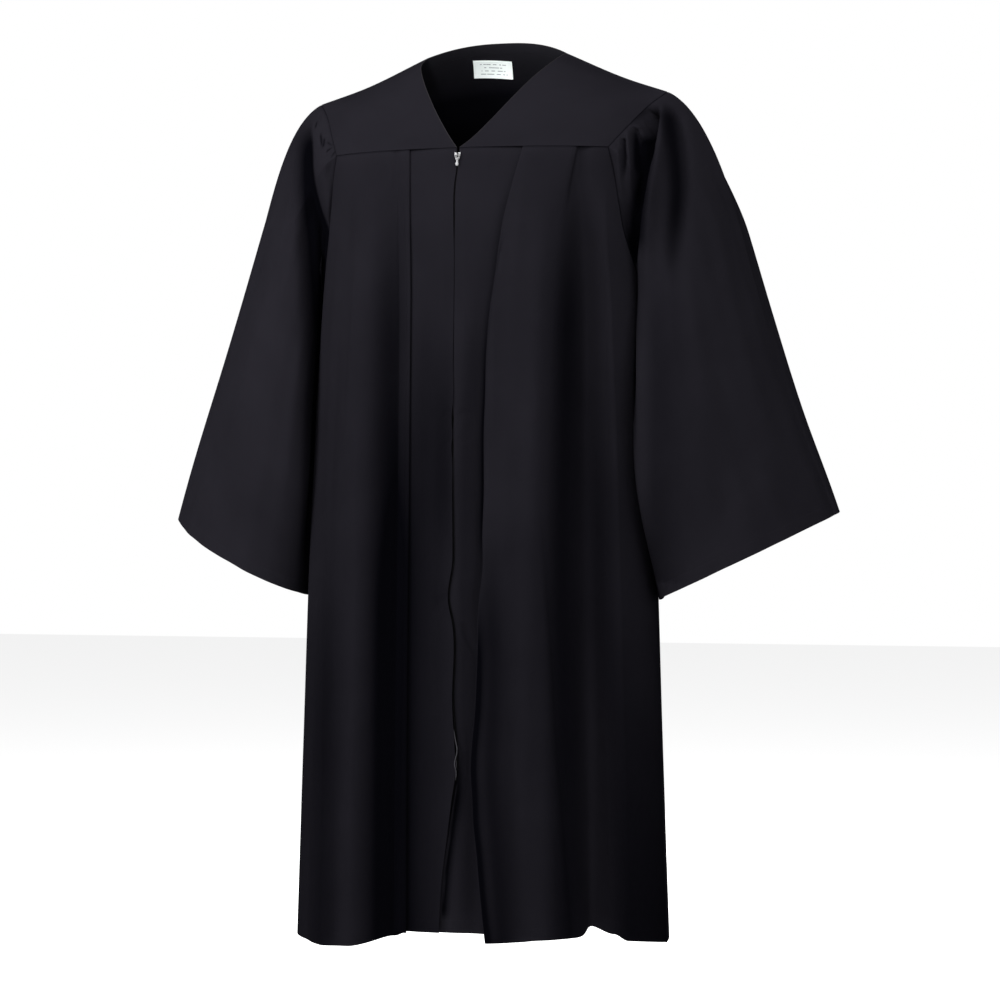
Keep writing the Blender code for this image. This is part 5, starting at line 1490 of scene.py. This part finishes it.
def on_back_yoke(grid, xs, drops):
    """Points on the back yoke at places across and at drops below the neck, with the way out."""
    normals = grid_normals(grid, False, 1)
    columns = np.arange(grid.shape[1])
    points = []
    ways = []
    for x, drop in zip(xs, drops):
        spot = float(np.interp(-x, -grid[0, :, 0], columns))
        low = int(spot)
        share = spot - low
        line = grid[:, low] * (1 - share) + grid[:, min(low + 1, len(columns) - 1)] * share
        fall = lengths_along(line)
        points.append(on_line(drop, fall, line))
        ways.append(on_line(drop, fall, normals[:, low]))
    return np.array(points), unit(ways)


def neck_stitches(grid):
    """The row of stitches that holds the turned back neck, on the inside."""
    reach = NECK_POINT[0] * NECK_STITCH_REACH
    xs = np.linspace(reach, -reach, 120)
    points, ways = on_back_yoke(grid, xs, np.full(len(xs), NECK_STITCH_DROP))
    inside = points - ways * (WALL / 2 + STITCH_THREAD * 0.2)
    return stitches("gown_neck_stitches", [(inside, -ways)], STITCH_PITCH, STITCH_THREAD,
                    thread_finish)


def label_grid(grid):
    """Grid over the label inside the back of the neck."""
    top = np.linspace(*LABEL_TOP, LABEL_COLUMNS + 1)
    foot = np.linspace(*LABEL_FOOT, LABEL_COLUMNS + 1)
    rows = []
    for share in np.linspace(0.0, 1.0, LABEL_ROWS + 1):
        xs, drops = (top + (foot - top) * share).T
        points, ways = on_back_yoke(grid, xs, drops)
        rows.append(points - ways * (WALL / 2 + GAP + TAPE_WALL / 2))
    return np.array(rows)


def label_stitches(grid):
    """Stitches along the four edges of the label."""
    down = max(1, round(LABEL_STITCH_IN / (LABEL_SIZE[1] / LABEL_ROWS)))
    aside = max(1, round(LABEL_STITCH_IN / (LABEL_SIZE[0] / LABEL_COLUMNS)))
    normals = -grid_normals(grid, False, 1)
    sides = ((slice(down, -down), aside), (slice(down, -down), -1 - aside),
             (down, slice(aside, -aside)), (-1 - down, slice(aside, -aside)))
    lift = TAPE_WALL / 2 + STITCH_THREAD * 0.15
    paths = [(grid[edge] + normals[edge] * lift, normals[edge]) for edge in sides]
    return stitches("gown_label_stitches", paths, LABEL_STITCH_PITCH, LABEL_THREAD,
                    label_thread_finish)


def back_painted_shade(grid):
    """Painted shade of the back: how deep in a fold each point is, from nought to one."""
    flat = grid[..., 1]
    wide = 2 * BACK_SEGMENT
    total = np.cumsum(np.pad(flat, ((0, 0), (wide, wide)), mode="edge"), axis=1)
    mean = (total[:, 2 * wide:] - total[:, :-2 * wide]) / (2 * wide)
    return np.clip((mean - flat) / PAINTED_SHADE_DEPTH, 0.0, 1.0)


TAPE_OUT = -(WALL / 2 + GAP + TAPE_WALL / 2)
TAPE_COLUMNS = 6
TAPE_ROWS = 260
CHAIN_PITCH = 0.0011
CHAIN_END_Z = -1.026


def zip_line(heights):
    """Distance round from the middle to the line of the zip, and how far out each side is."""
    middle = (front_edge("left", heights) - front_edge("right", heights)) / 2
    outs = {name: np.interp(-heights, -TABLE_HEIGHTS,
                            [front_knots(name, height)[0][1] for height in TABLE_HEIGHTS])
            for name in ("left", "right")}
    return middle, outs


def on_zip(distance, heights, outs, lift):
    """Points over the closed zip, lifted off its cloth."""
    return skin(1, turn_at(distance, heights), heights, (outs["left"] + outs["right"]) / 2 + lift)


def zip_tape(name, side):
    """Grid over the zip tape behind the edge of one front."""
    heights = np.linspace(YOKE_SEAM_Z - HALF_GAP, ZIP_END_Z, TAPE_ROWS)
    middle, outs = zip_line(heights)
    across = np.linspace(0.0, 1.0, TAPE_COLUMNS)
    distance = side * middle[:, None] + CHAIN_HALF + TAPE_WIDTH * across[None, :]
    heights = heights[:, None] + 0 * across
    out = outs[name][:, None] + pushed_out(name, distance, heights) + TAPE_OUT
    return skin(side, turn_at(distance, heights), heights, out)


def zip_chain():
    """The closed coil of the zip: one row of teeth from each side, laid in turn."""
    heights = np.arange(SLIDER_PLACE[2], CHAIN_END_Z, -CHAIN_PITCH / 2)
    middle, outs = zip_line(heights)
    shape, faces = bead_shape(TOOTH_LENGTH, TOOTH_WIDTH, TOOTH_DEPTH)
    outward = np.array((0.0, -1.0, 0.0))
    frames = []
    for number, point in enumerate(on_zip(middle, heights, outs, TAPE_OUT)):
        hand = 1 if number % 2 else -1
        way = unit((1.0, 0.0, TOOTH_SLANT * hand))
        origin = point + (hand * TOOTH_OFFSET, 0.0, 0.0)
        frames.append((origin, (way, np.cross(outward, way), outward)))
    return many("gown_zip_chain", shape, faces, frames, coil_finish)


TOOTH_LENGTH = 0.003
TOOTH_WIDTH = 0.00075
TOOTH_DEPTH = 0.0012
TOOTH_OFFSET = 0.0006
TOOTH_SLANT = 0.18
CORD_RADIUS = 0.00075
CORD_POINTS = 60
Cord = namedtuple("Cord", "height right left forward")
END_CORDS = table(Cord,
    (-0.968, -0.001, 0.0008, 0.0002), (-0.985, 0.001, 0.0044, 0.001),
    (-1.0, 0.0026, 0.0074, 0.0018), (-1.01, 0.004, 0.0056, 0.0022),
    (-1.018, 0.0058, 0.0036, 0.002), (-1.03, 0.004, 0.0058, 0.0016),
    (-1.042, 0.0034, 0.005, 0.0008))


def joined(parts, name):
    """Parts made one object."""
    only(parts[0])
    for part in parts[1:]:
        part.select_set(True)
    bpy.ops.object.join()
    parts[0].name = name
    return parts[0]


def zip_end_cords():
    """The two cords of the coil, which stand a little apart and cross at the foot of the zip."""
    table = column(END_CORDS, "height")
    heights = np.linspace(table[0], table[-1], CORD_POINTS)
    _, outs = zip_line(heights)
    forward = follow(table, column(END_CORDS, "forward"), heights)
    taper = 1.0
    for ends in ((0.0, 1.0), (1.0, 0.0)):
        taper = taper * np.sin(np.clip(np.linspace(*ends, CORD_POINTS) * 8, 0, 1) * math.pi / 2)
    parts = []
    for name, lift in (("right", -CORD_RADIUS * 0.4), ("left", CORD_RADIUS * 1.2)):
        distance = follow(table, column(END_CORDS, name), heights)
        path = on_zip(distance, heights, outs, forward + lift)
        radii = CORD_RADIUS * (0.35 + 0.65 * taper)
        parts.append(tube_mesh("gown_zip_cord_" + name, path, radii, cord_finish))
    return joined(parts, "gown_zip_cords")


SLIDER_PLACE = (0.0, -0.17337, -0.1625)
SLIDER_LEAN = -0.1098
SLIDER_WIDTH = 0.0086
SLIDER_HEIGHT = 0.01
SLIDER_PLATE = 0.0011
SLIDER_RIM = 0.0018
SLIDER_RECESS = 0.0005
TAPER_START = 0.4        # place up the plate below which it narrows, from its middle
TAPER_DEPTH = 0.42
TAPER_CURVE = 1.6
BRIDGE_RADIUS = 0.0021
BRIDGE_WIRE = 0.00055
BRIDGE_STRETCH = (1.7, 1.0, 1.25)
POST_WIDTH = 0.0022
POST_HEIGHT = 0.004
POST_Z = 0.0028
FRONT_PLATE_Y = -0.00145
BACK_PLATE_Y = 0.00275
PIVOT = (0.0, -0.176873, -0.160504)
PIVOT_Y = -0.0037
PIVOT_Z = 0.0016
PULL_WIDTH = 0.0056
PULL_THICKNESS = 0.0012


def start_solid(name, size, place):
    """A block of a size at a place, in edit mode with everything selected."""
    bpy.ops.object.select_all(action="DESELECT")
    bpy.ops.mesh.primitive_cube_add(size=1.0, location=place)
    made = bpy.context.object
    made.name = name
    bpy.ops.object.mode_set(mode="EDIT")
    bpy.ops.mesh.select_all(action="SELECT")
    bpy.ops.transform.resize(value=size)
    return made


def select_faces(made, test):
    """Selects the faces whose centres pass a test, in edit mode."""
    bpy.ops.mesh.select_all(action="DESELECT")
    bpy.ops.mesh.select_mode(type="FACE")
    work = bmesh.from_edit_mesh(made.data)
    for face in work.faces:
        face.select = bool(test(face.calc_center_median(), face.normal))
    work.select_flush_mode()
    bmesh.update_edit_mesh(made.data)


def finish_solid(made, width, finish, segments=2):
    """Leaves edit mode, rounds every edge, and gives the solid its finish."""
    bpy.ops.object.mode_set(mode="OBJECT")
    rounded = made.modifiers.new("rounded edges", "BEVEL")
    rounded.width = width
    rounded.segments = segments
    rounded.limit_method = "ANGLE"
    apply_modifiers(made)
    made.data.materials.append(finish)
    bpy.ops.object.shade_smooth_by_angle(angle=CRISP)


def slider_plate(name, depth):
    """One plate of the slider: narrower at its foot, with a dark recess down its middle."""
    made = start_solid(name, (SLIDER_WIDTH, SLIDER_PLATE, SLIDER_HEIGHT), (0.0, depth, 0.0))
    select_faces(made, lambda centre, normal: normal.y < -0.9)
    bpy.ops.mesh.inset(thickness=SLIDER_RIM)
    bpy.ops.mesh.extrude_region_move(TRANSFORM_OT_translate={"value": (0.0, SLIDER_RECESS, 0.0)})
    bpy.ops.mesh.select_all(action="SELECT")
    bpy.ops.mesh.subdivide(number_cuts=3)
    work = bmesh.from_edit_mesh(made.data)
    for point in work.verts:
        fall = max(0.0, TAPER_START - point.co.z / SLIDER_HEIGHT)
        point.co.x *= 1.0 - TAPER_DEPTH * fall ** TAPER_CURVE
    bmesh.update_edit_mesh(made.data)
    finish_solid(made, 0.00025, metal)
    made.data.materials.append(dark_metal)
    floor_y = depth - SLIDER_PLATE / 2 + SLIDER_RECESS * 0.6
    for face in made.data.polygons:
        inside = abs(face.center.x) < SLIDER_WIDTH / 2 - SLIDER_RIM and face.center.y < depth
        face.material_index = int(inside and face.center.y > floor_y)
    return made


def zip_slider():
    """The slider: two plates on a post, and the bridge that holds the pull."""
    parts = [slider_plate("gown_zip_slider", FRONT_PLATE_Y),
             slider_plate("slider back", BACK_PLATE_Y)]
    post = start_solid("slider post", (POST_WIDTH, BACK_PLATE_Y - FRONT_PLATE_Y, POST_HEIGHT),
                       (0.0, (FRONT_PLATE_Y + BACK_PLATE_Y) / 2, POST_Z))
    finish_solid(post, 0.0003, metal)
    bpy.ops.object.select_all(action="DESELECT")
    bpy.ops.mesh.primitive_torus_add(
        major_radius=BRIDGE_RADIUS, minor_radius=BRIDGE_WIRE, major_segments=36, minor_segments=12,
        rotation=(0.0, math.pi / 2, 0.0), location=(0.0, PIVOT_Y + 0.0002, PIVOT_Z))
    bridge = bpy.context.object
    bridge.data.materials.append(metal)
    bpy.ops.object.mode_set(mode="EDIT")
    bpy.ops.mesh.select_all(action="SELECT")
    bpy.ops.transform.resize(value=BRIDGE_STRETCH)
    bpy.ops.object.mode_set(mode="OBJECT")
    bpy.ops.object.transform_apply()
    bpy.ops.object.shade_smooth()
    slider = joined(parts + [post, bridge], "gown_zip_slider")
    bpy.ops.object.transform_apply()
    slider.rotation_euler = (SLIDER_LEAN, 0.0, 0.0)
    slider.location = SLIDER_PLACE
    bpy.ops.object.transform_apply()
    return slider


# Steps down the pull: how far, and the width as a share of the one above.
PULL_STEPS = ((0.0024, 0.52), (0.0026, 1.0), (0.002, 1.46), (0.0018, 1.0), (0.0012, 0.8),
              (0.0006, 0.45))
PULL_TOP = 0.0062        # height of the part with the window
PULL_RISE = 0.0006       # from the hinge axis up to the top of the pull
WINDOW_SIZE = (0.0042, 0.004, 0.0053)
WINDOW_Z = -0.0028


def zip_pull():
    """The pull tab: a window above, two arms that meet, and a stem with a round end."""
    made = start_solid("gown_zip_pull", (PULL_WIDTH, PULL_THICKNESS, PULL_TOP),
                       (0.0, 0.0, PULL_RISE - PULL_TOP / 2))
    select_faces(made, lambda centre, normal: normal.z < -0.9)
    for drop, share in PULL_STEPS:
        bpy.ops.mesh.extrude_region_move(TRANSFORM_OT_translate={"value": (0.0, 0.0, -drop)})
        bpy.ops.transform.resize(value=(share, 1.0, 1.0))
    bpy.ops.object.mode_set(mode="OBJECT")
    bpy.ops.object.transform_apply()
    window = start_solid("window", WINDOW_SIZE, (0.0, 0.0, WINDOW_Z))
    bpy.ops.object.mode_set(mode="OBJECT")
    cut = made.modifiers.new("window", "BOOLEAN")
    cut.operation = "DIFFERENCE"
    cut.solver = "EXACT"
    cut.object = window
    apply_modifiers(made)
    bpy.data.objects.remove(window)
    finish_solid(made, 0.00028, metal)
    made.location = PIVOT
    bpy.ops.object.transform_apply()
    return made


# ---- pieces --------------------------------------------------------------------------------
body_cloth = gown_cloth("gown cloth with hem", hem=True)
yoke_cloth = gown_cloth("yoke cloth", with_painted_shade=False)
# The inside of the back yoke: a lighter copy of the gown cloth as painted light, with painted shade
# that deepens down from the neck.
inside_cloth_painted_light_and_shade = gown_cloth("inside of the yoke", colours=((0.009, 0.0088, 0.0108, 1.0),
                                                         (0.0125, 0.0122, 0.015, 1.0)))
# The turned edge of the neck is lighter than the gown cloth: partly lint on the edge, partly a
# painted highlight along it.
lint_and_highlight_edge_cloth = plain_cloth("turned edge cloth", (0.0105, 0.0098, 0.0115, 1.0),
                         (0.02, 0.0185, 0.0195, 1.0), 0.55, 0.0005)
tape_cloth = plain_cloth("zip tape cloth", (0.0016, 0.0015, 0.002, 1.0),
                         (0.0028, 0.0026, 0.0034, 1.0), 0.7, 0.0007)
label_cloth = label_finish()
thread_finish = nylon_finish("sewing thread", (0.0036, 0.0034, 0.0046, 1.0),
                             (0.006, 0.0057, 0.0076, 1.0))
label_thread_finish = nylon_finish("label thread", (0.6, 0.66, 0.66, 1.0), (0.75, 0.8, 0.8, 1.0))
coil_finish = nylon_finish("zip coil", (0.0003, 0.0003, 0.0004, 1.0), (0.0008, 0.0008, 0.001, 1.0))
cord_finish = nylon_finish("zip cord", (0.02, 0.0195, 0.023, 1.0), (0.04, 0.039, 0.044, 1.0))
metal = metal_finish("zip metal", (0.17, 0.17, 0.175, 1.0), (0.3, 0.3, 0.305, 1.0), 0.34)
dark_metal = metal_finish("dark zip metal", (0.004, 0.004, 0.005, 1.0),
                          (0.008, 0.008, 0.009, 1.0), 0.5)
YOKE_PAINTED_SHADE_RATE = 2.2     # how quickly the painted shade inside the back yoke deepens on the way down


def gown_piece(made, node=None, body="gown"):
    """A finished piece that rides on a body, and stands for one of its solids if it does."""
    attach(made, body)
    if node:
        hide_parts(node)


for wearer, hand in (("left", 1), ("right", -1)):
    front_grid, front_painted_shade = front_panel(wearer, hand)
    yoke_grid = front_yoke(hand)
    sleeve_grid, sleeve_painted_shade = sleeve(wearer, hand)
    front = cloth_sheet("gown_front_" + wearer, front_grid, body_cloth, flip=hand < 0,
                        hollow=front_painted_shade)
    yoke = cloth_sheet("gown_yoke_front_" + wearer, yoke_grid, yoke_cloth, flip=hand < 0)
    arm = cloth_sheet("gown_sleeve_" + wearer, sleeve_grid, body_cloth, ring=True, flip=hand > 0,
                      hollow=sleeve_painted_shade)
    tape = cloth_sheet("gown_zip_tape_" + wearer, zip_tape(wearer, hand), tape_cloth, TAPE_WALL,
                       flip=hand < 0)
    edge = roll("gown_neck_edge_" + wearer, yoke_grid[:, 0])
    gown_piece(front, "front_" + wearer)
    gown_piece(yoke, "yoke_front_" + wearer)
    gown_piece(arm, "sleeve_" + wearer)
    gown_piece(tape, "zip_tape_" + wearer)
    gown_piece(edge)

back_grid = back_panel()
yoke_grid = back_yoke()
back = cloth_sheet("gown_back", back_grid, body_cloth, hollow=back_painted_shade(back_grid))
# Painted shade inside the back yoke, deeper on the way down from the neck; the outside yoke cloth
# doesn't read it.
painted_yoke_shade = np.broadcast_to(YOKE_PAINTED_SHADE_RATE * np.linspace(0.0, 1.0, len(yoke_grid))[:, None],
                         yoke_grid.shape[:2])
yoke = cloth_sheet("gown_yoke_back", yoke_grid, yoke_cloth, hollow=painted_yoke_shade, inside=inside_cloth_painted_light_and_shade)
edge = roll("gown_neck_edge_back", yoke_grid[0, BACK_YOKE_SHOULDER:-BACK_YOKE_SHOULDER])
stitched = neck_stitches(yoke_grid)
gown_piece(back, "back")
gown_piece(yoke, "yoke_back")
gown_piece(edge)
gown_piece(stitched)

label = cloth_sheet("gown_neck_label", label_grid(yoke_grid), label_cloth, TAPE_WALL)
label_thread = label_stitches(label_grid(yoke_grid))
gown_piece(label, "neck_label")
gown_piece(label_thread)

gown_piece(zip_chain())
gown_piece(zip_end_cords())
gown_piece(zip_slider(), "zip_slider")
gown_piece(zip_pull(), "zip_pull", body="pull_tab")
frame["nodes"]["zip_stop"].data.materials[0] = dark_metal

# ---- floor, light and camera ---------------------------------------------------------------
FLOOR_Z = -1.5
FLOOR_GLOW = 0.85        # how bright the pale floor looks before light falls on it
CAMERA_TURN = math.radians(18.0)
CAMERA_DISTANCE = 5.0
CAMERA_HEIGHT = -0.648
CAMERA_ASIDE = 0.00584
PICTURE_WIDTH = 1.46     # metres across the picture at the gown
LIGHT_DISTANCE = 4.2
LIGHT_SIZE = 2.0
LIT_POINT = np.array((0.0, -0.05, -0.6))
AMBIENT_COLOUR = (0.95, 0.96, 1.0, 1.0)
AMBIENT = 0.035          # strength of the light from all round
# Name, azimuth, elevation and watts.
LIGHTS = (
    ("left", -50.0, 27.0, 250.0),
    ("front", -6.0, 26.0, 84.0),
    ("high right", 35.0, 58.0, 150.0),
    ("right", 60.0, 15.0, 62.0),
    ("behind", 180.0, 10.0, 105.0),
)


def floor():
    """A plain pale floor."""
    bpy.ops.mesh.primitive_plane_add(size=30.0, location=(0.0, 0.0, FLOOR_Z))
    made = bpy.context.object
    made.name = "floor"
    finish, nodes, surface = new_material("pale floor")
    surface["Base Color"].default_value = (0.8, 0.8, 0.8, 1.0)
    surface["Roughness"].default_value = 0.9
    surface["Specular IOR Level"].default_value = 0.1
    surface["Emission Color"].default_value = (1.0, 1.0, 1.0, 1.0)
    seen = nodes.add("LightPath")["Is Camera Ray"]
    nodes.put(nodes.math("MULTIPLY", seen, FLOOR_GLOW), surface["Emission Strength"])
    made.data.materials.append(finish)


def soft_light(name, azimuth, elevation, watts):
    """A large soft light that looks at the middle of the gown from an azimuth and elevation."""
    made = bpy.data.objects.new(name, bpy.data.lights.new(name, "AREA"))
    made.data.shape = "DISK"
    made.data.size = LIGHT_SIZE
    made.data.energy = watts
    turn, rise = math.radians(azimuth), math.radians(elevation)
    way = np.array((math.sin(turn) * math.cos(rise), -math.cos(turn) * math.cos(rise),
                    math.sin(rise)))
    made.location = LIT_POINT + way * LIGHT_DISTANCE
    made.rotation_euler = (math.pi / 2 - rise, 0.0, turn)
    bpy.context.scene.collection.objects.link(made)


def studio():
    """Pale surroundings, brighter to the eye than as a source of light."""
    world = bpy.data.worlds.new("studio")
    world.use_nodes = True
    bpy.context.scene.world = world
    nodes = Nodes(world.node_tree)
    backdrop = world.node_tree.nodes["Background"]
    backdrop.inputs["Color"].default_value = (1.0, 1.0, 1.0, 1.0)
    backdrop.inputs["Strength"].default_value = 1.0
    ambient = nodes.add("Background", {"Color": AMBIENT_COLOUR, "Strength": AMBIENT})[0]
    seen = nodes.add("LightPath")["Is Camera Ray"]
    both = nodes.add("MixShader", {0: seen, 1: ambient, 2: backdrop.outputs[0]})[0]
    nodes.put(both, world.node_tree.nodes["World Output"].inputs["Surface"])
    for light in LIGHTS:
        soft_light(*light)


def camera():
    """The camera, level and a little to the wearer's left."""
    made = bpy.data.objects.new("camera", bpy.data.cameras.new("camera"))
    made.data.sensor_width = 36.0
    made.data.lens = 36.0 * CAMERA_DISTANCE / PICTURE_WIDTH
    across, back = math.cos(CAMERA_TURN), math.sin(CAMERA_TURN)
    made.location = (CAMERA_DISTANCE * back + CAMERA_ASIDE * across,
                     -CAMERA_DISTANCE * across + CAMERA_ASIDE * back, CAMERA_HEIGHT)
    made.rotation_euler = (math.pi / 2, 0.0, CAMERA_TURN)
    bpy.context.scene.collection.objects.link(made)
    bpy.context.scene.camera = made


floor()
studio()
camera()
bpy.context.scene.view_settings.view_transform = "Standard"
